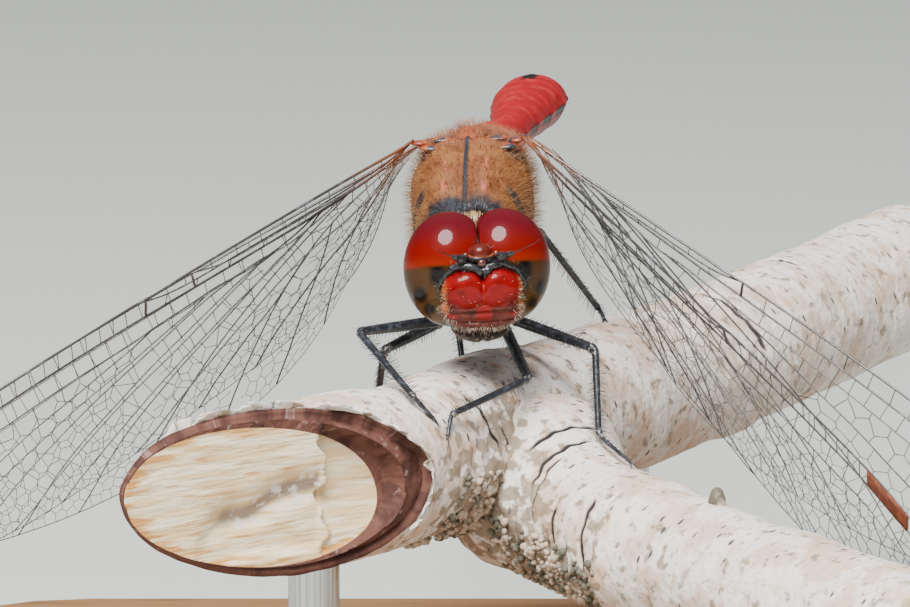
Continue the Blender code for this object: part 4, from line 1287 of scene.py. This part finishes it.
rng = np.random.default_rng(17)
hair_y = rng.uniform(3.05, 11.0, HAIR_COUNT)
hair_angle = rng.uniform(0, 2 * np.pi, HAIR_COUNT)
roots, outward = on_thorax(hair_y, hair_angle)
back_lean = np.array((0.0, 0.35, 0.05))
shape = bristles(roots, outward + back_lean, HAIR_LENGTH, HAIR_RADIUS, 18, droop=0.12, spread=0.30)
bake = patches(np.stack(((hair_y - THORAX_STATIONS[0, 0]) / THORAX_LENGTH, hair_angle / (2 * np.pi)), axis=1))
hair = thorax_finish("thorax_hair", hair=True)
piece("thorax_hairs", shape, hair, BODY, (), bake=bake)

# %% [markdown]
# ## Abdomen
# Ten rings make the abdomen. It is narrow behind the base and widens into a club. One skin carries all ten:
# a shallow groove marks each joint, the hind margin of a ring stands up a little, and a low keel runs
# down each side. In a male it is blood red, with black on the last rings and short black side dashes.

# %% Abdomen skin
SEGMENTS = np.cumsum((0, 0.9, 2.0, 3.1, 3.3, 3.3, 3.2, 3.0, 2.2, 1.5, 0.8))
ABDOMEN_STATIONS = np.array((    # distance back, half width, half height
    (0, 1.32, 1.36), (1.8, 1.50, 1.58), (3.8, 1.08, 1.15), (6.5, 0.82, 0.86), (9.5, 0.85, 0.84),
    (13, 1.08, 0.96), (16.5, 1.40, 1.12), (19.5, 1.62, 1.20), (21.6, 1.45, 1.08), (23.3, 0.90, 0.74)))
TAIL = (BODY[0] @ turned((-7, 0, 0)), placed(np.array((0.0, 11.54, 1.12)), BODY))


def abdomen_shape(rows=360, columns=110):
    """Ellipses along the axis, scaled by the joints' grooves and the raised margins before them."""
    y = np.linspace(-0.90, SEGMENTS[-1], rows)
    half_width, half_height = through(ABDOMEN_STATIONS, np.clip(y, 0, None)).T
    scale = np.full(rows, 0.985)
    for joint in SEGMENTS[1:-1]:
        scale -= 0.075 * groove(y - joint - 0.03, 0.05)
        scale += 0.020 * groove(y - joint + 0.14, 0.10)
    scale *= 1 - 0.25 * ramp(0.2 - y, 1.1) ** 2
    scale *= np.where(y > SEGMENTS[-1] - 0.12, 1 - 0.5 * ((y - SEGMENTS[-1] + 0.12) / 0.12) ** 2, 1)
    angle = circle(columns)
    x, z = np.cos(angle)[None], np.sin(angle)[None]
    keel = 1 + 0.05 * groove(np.abs(z), 0.10) + 0.03 * groove(x, 0.06) * (z > 0)
    points = np.stack((x * (half_width * scale)[:, None] * keel, y[:, None] + 0 * x,
                       z * (half_height * scale)[:, None] * keel), axis=-1)
    return tube_mesh(points + 0.008 * ripple(points, 3.0, 41)[..., None] * (1, 0, 1))


tail = Finish("abdomen", Roughness=0.50, Specular_IOR_Level=0.15, Coat_Weight=0.10, Coat_Roughness=0.25,
              Subsurface_Weight=0.06)
tail.shader.inputs["Subsurface Radius"].default_value = (0.6 * MM, 0.1 * MM, 0.05 * MM)
along, level = tail.axis(1), tail.axis(2)
across = tail.absolute(tail.axis(0))
tail.coat((0.34, 0.005, 0.010)).coat((0.44, 0.025, 0.024), tail.spots(0.45, 0.68, 1.4, 4.0))
tail.coat((0.30, 0.070, 0.030), tail.step(along, 1.6, 0.2))
tail.coat((0.12, 0.035, 0.022), tail.step(level, -0.3, -0.7), 0.8)
joints = 0.0
for joint in SEGMENTS[1:-1]:
    mark = tail.step(tail.absolute(tail.minus(along, float(joint) + 0.02)), 0.09, 0.03)
    joints = tail.larger(joints, mark)
tail.coat((0.035, 0.010, 0.010), joints)
dashes = tail.math("FRACT", tail.math("DIVIDE", along, 3.15))
side_band = tail.times(tail.step(tail.absolute(tail.plus(level, 0.15)), 0.30, 0.12),
                       tail.step(across, 0.6, 0.8))
tail.coat((0.012, 0.010, 0.010), side_band, tail.step(dashes, 0.30, 0.45), tail.step(along, 3.0, 3.4))
saddle = tail.times(tail.step(along, float(SEGMENTS[7]) + 0.1, float(SEGMENTS[7]) + 0.5),
                    tail.step(across, 0.42, 0.22))
tail.coat((0.015, 0.010, 0.010), saddle, tail.step(level, 0.3, 0.6))
tail.relief(tail.noise(4.0, 5.0), 0.03).relief(tail.cells(10.0), 0.01)
piece("abdomen_skin", abdomen_shape(), tail, TAIL, [f"abdomen_{k:02d}" for k in range(1, 11)])

claspers = Finish("claspers", Roughness=0.35, Coat_Weight=0.4)
claspers.coat((0.40, 0.020, 0.012)).coat((0.03, 0.01, 0.01), claspers.beyond(1, 24.4, 25.1))
claspers.relief(claspers.noise(6.0), 0.03)
for side, label in SIDES:
    where = np.linspace(0, 1, 14)[:, None]
    root = np.array((0.38 * side, SEGMENTS[-1] + 0.05, 0.15))
    path = root + where * np.array((0.16 * side, 1.70, 0.03)) + where**2 * np.array((-0.14 * side, 0, 0.10))
    size = 0.24 * np.sin(np.clip(0.25 + 0.75 * where[:, 0], 0, 0.985) * np.pi) ** 0.5
    piece(f"cercus_{label}_clasper", rods(path[None], size[None], 16), claspers, TAIL,
          [f"cercus_{label}"])

# %% [markdown]
# ## Legs
# Each leg is a chain: the short coxa, the long femur and tibia, and the thin tarsus that ends in two
# claws. One skin runs through all of a leg's joints, rounded at each bend and swollen there a little. The
# knee's place is known in the body's frame, and the foot stands on the bark, so the leg is bent between
# them. Rows of stiff spines line the femur and the tibia, longest on the tibia.

# %% Twig: middle lines
STEM_START = HEAD_CENTRE + np.array((-13.05, -20.0, -5.36))
STEM_LENGTH, STEM_HEADINGS, STEM_SLOPES = 65.0, np.radians((61, 58)), (-0.13, 0.06)
FORK_AT, SHOOT_LENGTH, SHOOT_HEADINGS = 28.3, 29.0, np.radians((-62, -52))
SHOOT_DIP, DIP_FADE = 0.60, 4.2


def level_curve(s, length, headings):
    """A path that turns evenly from one heading to the other."""
    turn = (headings[1] - headings[0]) / length
    heading = headings[0] + turn * s
    x = (np.sin(heading) - np.sin(headings[0])) / turn
    y = (np.cos(headings[0]) - np.cos(heading)) / turn
    return np.stack((x, y, 0 * x), axis=-1)


def middle_line(branch, s):
    """The stem rises along a parabola; the shoot starts on the stem's middle line and dips at first."""
    if branch == "stem":
        z = STEM_SLOPES[0] * s + (STEM_SLOPES[1] - STEM_SLOPES[0]) * s**2 / (2 * STEM_LENGTH)
        return level_curve(s, STEM_LENGTH, STEM_HEADINGS) + z[..., None] * np.array((0, 0, 1)) + STEM_START
    z = -SHOOT_DIP * DIP_FADE * (1 - np.exp(-s / DIP_FADE))
    root = middle_line("stem", np.array(FORK_AT))
    return level_curve(s, SHOOT_LENGTH, SHOOT_HEADINGS) + z[..., None] * np.array((0, 0, 1)) + root


def bark_radius(branch, s):
    """A steady radius plus a splay at the cut, a swelling at the fork and low rings."""
    if branch == "stem":
        return 3.2 + 0.35 * np.exp(-s / 6) + 0.25 * groove(s - FORK_AT, 3.5) + 0.05 * np.sin(s / 1.9)
    return 2.8 + 0.45 * groove(s - 4.0, 3.0) + 0.06 * np.sin(s / 1.4)


def on_bark(branch, s, angle, lift=0.0):
    """A place on the bark: the radius times cosine upwards and sine to the right of the branch's way."""
    s, angle = np.broadcast_arrays(np.asarray(s, float), np.asarray(angle, float))
    middle = middle_line(branch, s)
    along = middle_line(branch, s + 0.05) - middle_line(branch, s - 0.05)
    along /= np.linalg.norm(along, axis=-1, keepdims=True)
    right = np.cross(along, np.array((0, 0, 1.0)))
    right /= np.linalg.norm(right, axis=-1, keepdims=True)
    top = np.cross(right, along)
    way = np.cos(angle)[..., None] * top + np.sin(angle)[..., None] * right
    return middle + (bark_radius(branch, s) + lift)[..., None] * way


# %% Legs
HIPS = {"front": ((0.80, 3.40, -2.45), (1.15, 2.95, -3.00)),
        "middle": ((1.00, 4.80, -3.05), (1.50, 4.60, -3.55)),
        "hind": ((1.20, 6.40, -3.05), (1.90, 6.75, -3.45))}
# knee in the body's frame, then the foot: branch, distance along, degrees round, reach and roll of the toes
STANCES = {
    ("front", "left"): ((4.17, -0.33, -2.39), "stem", 18.0, 31, 0.7, 16),
    ("front", "right"): ((2.50, -0.34, -4.60), "stem", 19.5, 49, -0.5, 12),
    ("middle", "left"): ((3.35, 0.68, -3.49), "stem", 24.5, -84, -1.2, -20),
    ("middle", "right"): ((4.99, 2.18, -4.22), "shoot", 6.5, -10, 2.2, -6),
    ("hind", "left"): ((1.81, 11.61, -2.57), "stem", 31.2, -66, -1.2, -18),
    ("hind", "right"): ((2.03, 12.00, -1.92), "stem", 39.2, -24, -1.4, 16),
}
COXA_SUNK = np.array((-0.10, 0.10, 1.15))     # how far the coxa reaches into the thorax
ANKLE_LIFT, TOE_LIFT = 0.42, 0.10
BEND = 0.30                            # how far from a joint its rounding starts


def leg_joints(pair, label):
    """Coxa root, hip, knee, ankle and toe in the world's frame."""
    side = -1 if label == "left" else 1
    knee, branch, at, degrees, reach, roll = STANCES[pair, label]
    root, hip = (np.array(place) for place in HIPS[pair])
    upper = [placed(place * (side, 1, 1), BODY) for place in (root + COXA_SUNK, hip, np.array(knee))]
    ankle = on_bark(branch, at, math.radians(degrees), ANKLE_LIFT)
    toe = on_bark(branch, at + reach, math.radians(degrees + roll), TOE_LIFT)
    return np.array([*upper, ankle, toe])


def rounded(joints, steps=26):
    """Straight parts between joints, with each inner joint replaced by a parabola. Also gives, for each
    place, which limb it is on and how far along it, from 0 to 1."""
    path, limb, share = [], [], []
    last = len(joints) - 2
    for k in range(last + 1):
        start, end = joints[k], joints[k + 1]
        length = np.linalg.norm(end - start)
        trim = min(BEND / length, 0.3)
        u = np.linspace(trim if k else 0.0, 1 - trim if k < last else 1.0, steps)
        path.append(start + (end - start) * u[:, None])
        limb.append(np.full(steps, k))
        share.append(u)
        if k < last:
            after = joints[k + 2] - end
            leave = min(BEND / np.linalg.norm(after), 0.3)
            w = np.linspace(0, 1, 9)[1:-1, None]
            path.append((1 - w) ** 2 * path[-1][-1] + 2 * w * (1 - w) * end + w**2 * (end + after * leave))
            limb.append(np.where(w[:, 0] < 0.5, k, k + 1))
            share.append(np.where(w[:, 0] < 0.5, 1.0, 0.0))
    return np.concatenate(path), np.concatenate(limb), np.concatenate(share)


# radius at both ends of each limb, from the coxa to the tarsus
LIMB_SIZES = np.array(((0.52, 0.30), (0.23, 0.175), (0.150, 0.125), (0.095, 0.065)))


def limb_size(limb, share):
    """An even taper: the first end size plus the share of the way to the second."""
    return LIMB_SIZES[limb, 0] + (LIMB_SIZES[limb, 1] - LIMB_SIZES[limb, 0]) * share


def leg_radius(limb, share):
    """The limb's size, with a soft knob at each joint, rings on the tarsus and a belly on the femur."""
    knob = groove(share, 0.035) + groove(1 - share, 0.035)
    rings = 0.25 * (limb == 3) * (groove(share - 0.33, 0.05) + groove(share - 0.66, 0.05))
    belly = 0.10 * (limb == 1) * np.sin(np.pi * share)
    return limb_size(limb, share) * (1 + 0.16 * knob * (limb < 3) + rings + belly)


leg = speckled("leg", (0.012, 0.013, 0.017), (0.055, 0.065, 0.085), 0.50, 0.72, 3.5, 5.0, Roughness=0.33,
               Coat_Weight=0.35, Coat_Roughness=0.18)
leg.coat((0.30, 0.27, 0.24), leg.read("joint"), leg.spots(0.55, 0.66, 7.0))
leg.relief(leg.noise(8.0, 5.0), 0.03)
spine = speckled("spine", (0.020, 0.020, 0.024), (0.16, 0.15, 0.15), 0.50, 0.62, 6.0, Roughness=0.35)
spines_made = 0
for pair, label in STANCES:
    name = f"{pair}_{label}"
    joints = leg_joints(pair, label)
    path, limb, share = rounded(joints)
    size = leg_radius(limb, share)
    plane = np.cross(joints[2] - joints[1], joints[3] - joints[2])
    plane /= np.linalg.norm(plane)
    leg_skin = rods(path[None], size[None], 20, guide=plane)
    near_joint = (groove(share, 0.06) + groove(1 - share, 0.06)).repeat(20)
    # the two claws, splayed from the toe
    toe_way = joints[4] - joints[3]
    toe_way /= np.linalg.norm(toe_way)
    sideways = np.cross(toe_way, np.array((0, 0, 1.0)))
    bow = np.linspace(0, 1, 7)[:, None]
    drop = np.array((0, 0, 0.16)) * bow**2
    forward = joints[4] + toe_way * 0.34 * bow
    claws = np.stack([forward + side * sideways * 0.16 * bow - drop for side in (-1, 1)])
    claw_skin = rods(claws, np.array((0.045, 0.042, 0.038, 0.032, 0.025, 0.016, 0.005)), 6)
    shape = joined([leg_skin, claw_skin])
    joint_share = np.concatenate((near_joint, np.zeros(len(claw_skin[0]))))
    nodes = [f"{part}_{name}" for part in ("coxa", "femur", "tibia", "tarsus")]
    piece(f"leg_{name}", shape, leg, WORLD, nodes, attributes=[("joint", joint_share)])
    roots, ways, places = [], [], []
    for k, count, long in ((1, 22, 0.7), (2, 34, 1.0), (3, 8, 0.35)):
        start, end = joints[k], joints[k + 1]
        along = (end - start) / np.linalg.norm(end - start)
        bent_to = np.cross(plane, along)
        for row in (-1, 0, 1):
            u = np.linspace(0.12, 0.96, count)
            off = bent_to * math.cos(row * 0.9) + plane * math.sin(row * 0.9)
            off = off * (-1 if row == 0 else 1)
            roots.append(start + (end - start) * u[:, None] + off * limb_size(k, u)[:, None] * 0.9)
            ways.append(np.tile((off * 0.85 + along * 0.55) * long, (count, 1)))
            places.append(np.stack(((k + u) / 4, np.full(count, (row + 1.5) / 3)), axis=1))
    roots, ways = np.concatenate(roots), np.concatenate(ways)
    long = np.linalg.norm(ways, axis=1)
    shape = bristles(roots, ways, 0.42 * long, 0.020, 50 + spines_made, spread=0.14)
    bake = patches(np.concatenate(places))
    piece(f"spines_{name}", shape, spine, WORLD, (), bake=bake)
    spines_made += len(roots)
print("spines in all:", spines_made)

# %% [markdown]
# ## Twig
# The stem was cut at a slant and then snapped, which left a long tongue with a hollow along it. Round the
# cut the bark has come off and shows a brown layer. The whole stem is one surface, told by rows: the cut
# face from its middle to its rim, the brown band, the step up on to the bark, the bark to the far end, and
# the sawn far end. A slant plane gives the rim: for each angle, halving finds where the wood meets it.
# The texture uses a straightened place, distance along and two across, so the grain follows the branch.

# %% Twig surfaces
CUT_PLANE_AT, CUT_HEADING = 16.5, math.radians(32)
CUT_NORMAL = np.array((math.sin(CUT_HEADING), -math.cos(CUT_HEADING), 0.0))
CUT_ACROSS = np.array((math.cos(CUT_HEADING), math.sin(CUT_HEADING), 0.0))
BARK_DEPTH, BAND_WIDTH = 0.36, 1.35
AROUND = 184
BROWN_LAYER, OUTER_BARK = 1.0, 2.0     # zones; the wood of the cut is zone 0
WORN_REACH = 5.0
CRACKS = {                             # distance along, half width, and the angles it runs between
    "shoot": ((5.0, 0.12, -0.5, 0.75), (6.2, 0.08, -0.3, 1.15), (6.9, 0.07, 0.3, 1.7),
              (10.6, 0.10, 0.6, 2.2), (11.1, 0.07, -0.6, 1.0), (8.6, 0.07, 0.9, 2.0)),
    "stem": ((22.4, 0.10, 0.2, 1.5), (23.6, 0.08, 0.9, 2.1), (20.6, 0.08, 0.1, 0.9),
             (34.5, 0.14, -1.5, 0.5), (45.0, 0.15, -0.8, 1.4), (52.0, 0.14, -2.4, 0.4)),
}


def cut_distance(angle, lift):
    """Distance along the stem where its surface meets the slant plane, by halving an interval."""
    corner = on_bark("stem", CUT_PLANE_AT, np.pi / 2)
    low, high = np.zeros_like(angle), np.full_like(angle, 32.0)
    for _ in range(40):
        middle = (low + high) / 2
        outside = (on_bark("stem", middle, angle, lift) - corner) @ CUT_NORMAL > 0
        low, high = np.where(outside, middle, low), np.where(outside, high, middle)
    return high


def bark_relief(branch, s, angle):
    """Height of the bark: broad uneven swellings, fine wrinkles round the branch, and deep cracks across.
    Also gives where the cracks are and where the bark is worn, from 0 to 1, and the straightened place."""
    radius = bark_radius(branch, s)
    straight = np.stack((s, radius * np.cos(angle), radius * np.sin(angle)), axis=-1)
    height = 0.10 * ripple(straight * (0.7, 1, 1), 0.9, 61) + 0.035 * ripple(straight * (2.6, 1, 1), 2.1, 62)
    height += 0.018 * ripple(straight * (3.0, 1.2, 1.2), 4.6, 63)
    wander = 0.35 * ripple(straight * (0.0, 1, 1), 1.1, 64) + 0.10 * ripple(straight * (0.0, 1, 1), 4.0, 67)
    swell = 1.0 + 0.5 * ripple(straight, 1.6, 68)
    crack = np.zeros_like(height)
    turn = (angle + np.pi) % (2 * np.pi) - np.pi
    for at, width, first, last in CRACKS[branch]:
        span = ramp(turn - first, 0.25) * ramp(last - turn, 0.25)
        lean = 0.45 * (turn - first)
        crack = np.maximum(crack, span * groove(s - at - wander - lean, width * swell))
    if branch == "shoot":
        height += 0.55 * groove(s - 2.9, 1.5) + 0.12 * groove(s - 12.0, 0.5) + 0.08 * groove(s - 20.5, 0.6)
    else:
        height += 0.14 * groove(s - 46.0, 0.7)
        near_fork = groove(s - FORK_AT + 2.5, 3.0) * np.clip(np.sin(angle), 0, 1)
        height += 0.10 * near_fork * ripple(straight, 5.0, 65)
    centre = FORK_AT - 4.5 if branch == "stem" else 5.0
    worn = groove(s - centre, WORN_REACH) * groove(turn - 1.75, 1.0)
    height += 0.13 * worn * ripple(straight, 4.5, 66)
    return height - 0.20 * crack, crack, worn, straight


def cut_face(rim, rows):
    """Points from the rim's middle out to the rim, pushed in: a step where the tongue snapped, a hollow
    that runs down the tongue, and fine fibres."""
    middle = rim.mean(axis=0)
    share = np.linspace(0.0, 1.0, rows + 1)[1:, None, None] ** 0.9
    points = middle + (rim - middle) * share
    across, up_face = (points - middle) @ CUT_ACROSS, points[..., 2] - middle[2]
    ragged = 0.16 * np.sin(up_face * 2.6) + 0.10 * np.sin(up_face * 6.1 + 1.0)
    step = ramp(across - 2.45 - ragged, 0.12)
    step_depth = 0.20 + 0.42 * ramp(up_face + 2.0, 1.6)
    depth = step_depth * step * ramp(1 - share[..., 0], 0.10)
    line = 0.35 + 0.27 * (across - 2.7) + 0.10 * np.sin(across * 2.3)
    inside = ramp(2.5 - across, 0.2) * ramp(across + 3.2, 1.6)
    hollow = inside * groove(up_face - line, 0.55)
    shelf = inside * ramp(line - up_face, 0.3) * ramp(2.6 + up_face, 0.4)
    depth += hollow * (0.50 + 0.24 * ripple(points, 2.8, 74)) + 0.22 * shelf
    depth += 0.02 * (1 + ripple(points * (0.5, 0.5, 3.2), 2.2, 71)) * ramp(1 - share[..., 0], 0.1)
    weathered = ramp(share[..., 0] - 0.80, 0.2) * np.ones_like(hollow)
    return points - CUT_NORMAL * depth[..., None], hollow, step, weathered


def on_wide_side(angle):
    """How far an angle is on the side where the brown layer shows most, from 0 to 1."""
    return (0.5 + 0.5 * np.cos(angle - 1.1)) ** 2


def bark_edge(angle, start):
    """Where the bark begins: some way past the cut's start, most on the wide side, with a ragged line."""
    unit = np.stack((np.cos(angle), np.sin(angle), 0 * angle), axis=-1)
    ragged = 0.22 * ripple(unit, 3.0, 72) + 0.14 * ripple(unit, 8.0, 75)
    return start + BAND_WIDTH * (0.16 + 0.86 * on_wide_side(angle)) + ragged


def stem_shape():
    """All rows of the stem, with the zone of each point: 0 wood, 1 brown layer, 2 bark; then its cracks or
    hollow, its wear and its straightened place."""
    angle = circle(AROUND)
    start = cut_distance(angle, -BARK_DEPTH)
    rim = on_bark("stem", start, angle, -BARK_DEPTH)
    face, hollow, step, weathered = cut_face(rim, 60)
    band_zone = np.clip((weathered - 1 + 0.95 * on_wide_side(angle)) / 0.12 + 0.5, 0, 1)
    rows, zones, crevices, wear, grains = [face], [band_zone], [hollow], [weathered], []
    flat = np.stack(((face - rim.mean(axis=0)) @ CUT_ACROSS, face[..., 2] - 15, 0.4 * step), axis=-1)
    grains.append(flat)
    edge = bark_edge(angle, start)
    bands = ((start, edge, 22, -BARK_DEPTH, -BARK_DEPTH, BROWN_LAYER),
             (edge, edge + 0.06, 3, -BARK_DEPTH, 0.02, BROWN_LAYER),
             (edge + 0.10, np.full(AROUND, STEM_LENGTH), 430, 0.0, 0.0, OUTER_BARK))
    for first, last, count, low, high, zone in bands:
        u = np.linspace(0, 1, count)[:, None]
        s = first + (last - first) * u
        height, crack, worn, straight = bark_relief("stem", s, angle[None])
        lift = low + (high - low) * u
        if zone == OUTER_BARK:
            lift = lift + height * np.clip(u * 60, 0.3, 1)
        else:
            lift = lift + 0.04 * ripple(straight, 3.0, 73)
        rows.append(on_bark("stem", s, angle[None], lift))
        zones.append(np.full(s.shape, zone))
        crevices.append(crack if zone == OUTER_BARK else 0 * crack)
        wear.append(worn)
        grains.append(straight)
    rows.append(end_cap(rows[-1][-1]))
    for values in (zones, crevices, wear):
        values.append(np.zeros(rows[-1].shape[:2]))
    grains.append(rows[-1])
    return [np.concatenate(group) for group in (rows, zones, crevices, wear, grains)]


def end_cap(end):
    """Rows that close a branch: its last ring, shrunk in even steps towards its middle."""
    middle = end.mean(axis=0)
    return middle + (end - middle) * np.linspace(1, 0, 14)[:-1, None, None]


def with_poles(values):
    """Values for a tube_mesh: those of all rings, then the mean of the first ring and of the last."""
    flat = values.reshape(-1, *values.shape[2:])
    return np.concatenate((flat, values[:1].mean(axis=1), values[-1:].mean(axis=1)))


bark = Finish("bark", Roughness=0.75, Specular_IOR_Level=0.3)
zone, crevice = bark.read("zone"), bark.read("crevice")
stretch = bark.stretched((1.4, 1.0, 1.0))
bark.coat((0.68, 0.52, 0.42)).coat((0.82, 0.77, 0.72), bark.spots(0.40, 0.54, 0.5, 6.0))
bark.coat((0.66, 0.42, 0.27), bark.spots(0.55, 0.70, 0.8, 6.0, stretch), 0.7)
bark.coat((0.40, 0.33, 0.28), bark.spots(0.60, 0.68, 3.4, 3.0), 0.6)
worn = bark.plus(bark.noise(1.8, 6.0), bark.times(bark.read("worn"), 0.24))
bark.coat((0.25, 0.18, 0.115), bark.step(worn, 0.57, 0.68), 0.85)
bark.coat((0.33, 0.34, 0.24), bark.spots(0.61, 0.70, 0.9, 3.0), 0.4)
dots = bark.step(bark.cells(0.85, bark.stretched((2.6, 1.0, 1.0))), 0.19, 0.12)
bark.coat((0.07, 0.06, 0.065), dots, bark.spots(0.42, 0.52, 0.7))
# painted shade: near black down in the bark's cracks
bark.coat((0.025, 0.02, 0.02), bark.step(crevice, 0.25, 0.6))
brown = bark.step(zone, 1.6, 1.4)
bark.coat((0.135, 0.055, 0.040), brown)
bark.coat((0.070, 0.026, 0.020), brown, bark.spots(0.48, 0.62, 1.1, 5.0))
bark.coat((0.24, 0.15, 0.13), brown, bark.spots(0.60, 0.68, 2.1, 5.0))
cream = bark.step(zone, 0.6, 0.4)
fibres = bark.stretched((0.5, 4.0, 1.0))
bark.coat((0.80, 0.58, 0.31), cream)
bark.coat((0.92, 0.80, 0.58), cream, bark.spots(0.42, 0.58, 0.7, 4.0, fibres))
aged = bark.plus(bark.noise(0.9, 4.0, fibres), bark.times(bark.read("worn"), 0.22))
bark.coat((0.62, 0.30, 0.09), cream, bark.step(aged, 0.57, 0.72))
# painted shade: darker grey-brown on the wood down in the hollow along the tongue
bark.coat((0.38, 0.29, 0.22), cream, bark.step(crevice, 0.45, 1.0))
bark.coat((0.80, 0.76, 0.72), bark.step(crevice, 0.2, 0.5), bark.times(cream, bark.spots(0.52, 0.60, 1.6)))
wooden = bark.times(cream, bark.noise(1.6, 5.0, fibres))
rough = bark.times(bark.step(zone, 0.4, 0.6), bark.noise(2.2, 7.0))
bark.relief(rough, 0.13).relief(wooden, 0.07).relief(bark.cells(3.6, stretch), 0.012)


def branch_piece(name, node, rows, zones, crevices, wear, grains):
    """A branch as one tube, whose points keep their zone, their crack or hollow, and their wear."""
    marks = [(mark, with_poles(values))
             for mark, values in (("zone", zones), ("crevice", crevices), ("worn", wear))]
    piece(name, tube_mesh(rows), bark, WORLD, [node], marks, grain=with_poles(grains))


branch_piece("stem_skin", "perch_stem", *stem_shape())

s, angle = np.meshgrid(np.linspace(0.4, SHOOT_LENGTH, 360), circle(AROUND), indexing="ij")
height, crack, worn, straight = bark_relief("shoot", s, angle)
rings = on_bark("shoot", s, angle, height)
cap = end_cap(rings[-1])
bare = np.zeros(cap.shape[:2])
zones = np.full(s.shape, OUTER_BARK)
groups = ((rings, cap), (zones, bare), (crack, bare), (worn, bare), (straight + (90, 0, 0), cap))
branch_piece("shoot_skin", "perch_shoot", *(np.concatenate(group) for group in groups))

# %% [markdown]
# Where the bark broke off, thin flakes of it still curl up over the brown layer. Each is a small plate
# rooted on the bark's edge: it narrows and lifts more and more towards its free end.

# %% Flakes at the bark's edge
rng = np.random.default_rng(29)
flakes, flake_grains = [], []
for middle in np.linspace(-0.7, 2.0, 17) + rng.uniform(-0.06, 0.06, 17):
    half, long, curl = rng.uniform(0.07, 0.17), rng.uniform(0.35, 0.95), rng.uniform(0.08, 0.36)
    u, v = np.meshgrid(np.linspace(0, 1, 12), np.linspace(-1, 1, 14), indexing="ij")
    angle = middle + half * v * (1 - 0.5 * u**2) + 0.12 * u * rng.uniform(-1, 1)
    s = bark_edge(angle, cut_distance(angle, -BARK_DEPTH)) + 0.35 - long * u * (1 - 0.3 * v**2)
    lift = 0.03 + curl * u**1.6 + 0.02 * np.sin(5 * v + 7 * u)
    flakes.append(slab(on_bark("stem", s, angle, lift), 0.05))
    straight = np.stack((s, 3 * np.cos(angle), 3 * np.sin(angle)), axis=-1).reshape(-1, 3)
    flake_grains.append(np.tile(straight, (2, 1)))
flakes, flake_grains = joined(flakes), np.concatenate(flake_grains)
marks = [(label, np.full(len(flake_grains), level))
         for label, level in (("zone", OUTER_BARK), ("crevice", 0.0), ("worn", 0.3))]
piece("bark_flakes", flakes, bark, WORLD, (), grain=flake_grains, attributes=marks)

# %% [markdown]
# Lumps of old bark crowd the underside of the fork, and a small bud sits on the shoot. Each lump is a
# little uneven ball, half sunk into the bark; all of them make one mesh.

# %% Lumps and bud
LUMP_COUNT = 760
LUMP_PLACES = {"shoot": (3.2, 12.0, 90), "stem": (19.5, 26.0, 92)}    # from, to, and the least angle round
rng = np.random.default_rng(23)
lumps = []
for k in range(LUMP_COUNT):
    branch = "shoot" if k % 3 else "stem"
    near, far, side = LUMP_PLACES[branch]
    at = rng.uniform(near, far)
    turn = math.radians(rng.uniform(side, 172))
    size = rng.uniform(0.05, 0.17)
    lump_points, lump_faces = ball((0, 0, 0), (size, size * rng.uniform(0.7, 1.2), size), 6, 9)
    lump_points = lump_points * (1 + 0.4 * ripple(lump_points, 9.0, k))[:, None]
    lumps.append((lump_points + on_bark(branch, at, turn, 0.10), lump_faces))
lump_skin = speckled("lumps", (0.56, 0.45, 0.35), (0.13, 0.12, 0.085), 0.45, 0.56, 1.0, Roughness=0.8)
lump_skin.relief(lump_skin.noise(6.0, 5.0), 0.08)
piece("bark_lumps", joined(lumps), lump_skin, WORLD, ())
bud_points, bud_faces = ball((0, 0, 0), (0.34, 0.30, 0.62), 18, 26)
bud_points += 0.04 * ripple(bud_points, 5.0, 77)[:, None]
piece("bud", (bud_points + on_bark("shoot", 15.5, math.radians(-8), 0.15), bud_faces), lump_skin,
      WORLD, ())

# %% [markdown]
# ## Stand
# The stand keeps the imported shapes, so the rods still sit in their sockets: turned oak under a clear oil
# finish, and two brushed steel rods.

# %% Stand finishes
oak = Finish("oak", Roughness=0.42, Coat_Weight=0.15, Coat_Roughness=0.3)
oak.where = oak.nodes.new("ShaderNodeTexCoord").outputs["Object"]
grain_way = oak.stretched((45.0, 900.0, 2600.0))
oak.coat((0.30, 0.155, 0.065)).coat((0.19, 0.085, 0.032), oak.spots(0.42, 0.62, 1.0, 5.0, grain_way))
oak.coat((0.10, 0.045, 0.018), oak.spots(0.62, 0.70, 4.0, 3.0, grain_way), 0.7)
oak.relief(oak.noise(3.0, 4.0, grain_way), 0.05)
brushed = Finish("brushed_steel", Metallic=1.0, Roughness=0.30)
brushed.where = brushed.nodes.new("ShaderNodeTexCoord").outputs["Object"]
lines = brushed.noise(1.0, 3.0, brushed.stretched((9000.0, 9000.0, 60.0)))
brushed.coat((0.60, 0.60, 0.59)).coat((0.42, 0.42, 0.42), brushed.step(lines, 0.4, 0.6))
brushed.dull(lines, 0.22, 0.42)
for node, finish in (("stand_base", oak), ("stand_rod_front", brushed), ("stand_rod_back", brushed)):
    thing = bpy.data.objects[node]
    thing.data.materials.clear()
    thing.data.materials.append(finish.material)
    print(node, "finish:", finish.material.name)
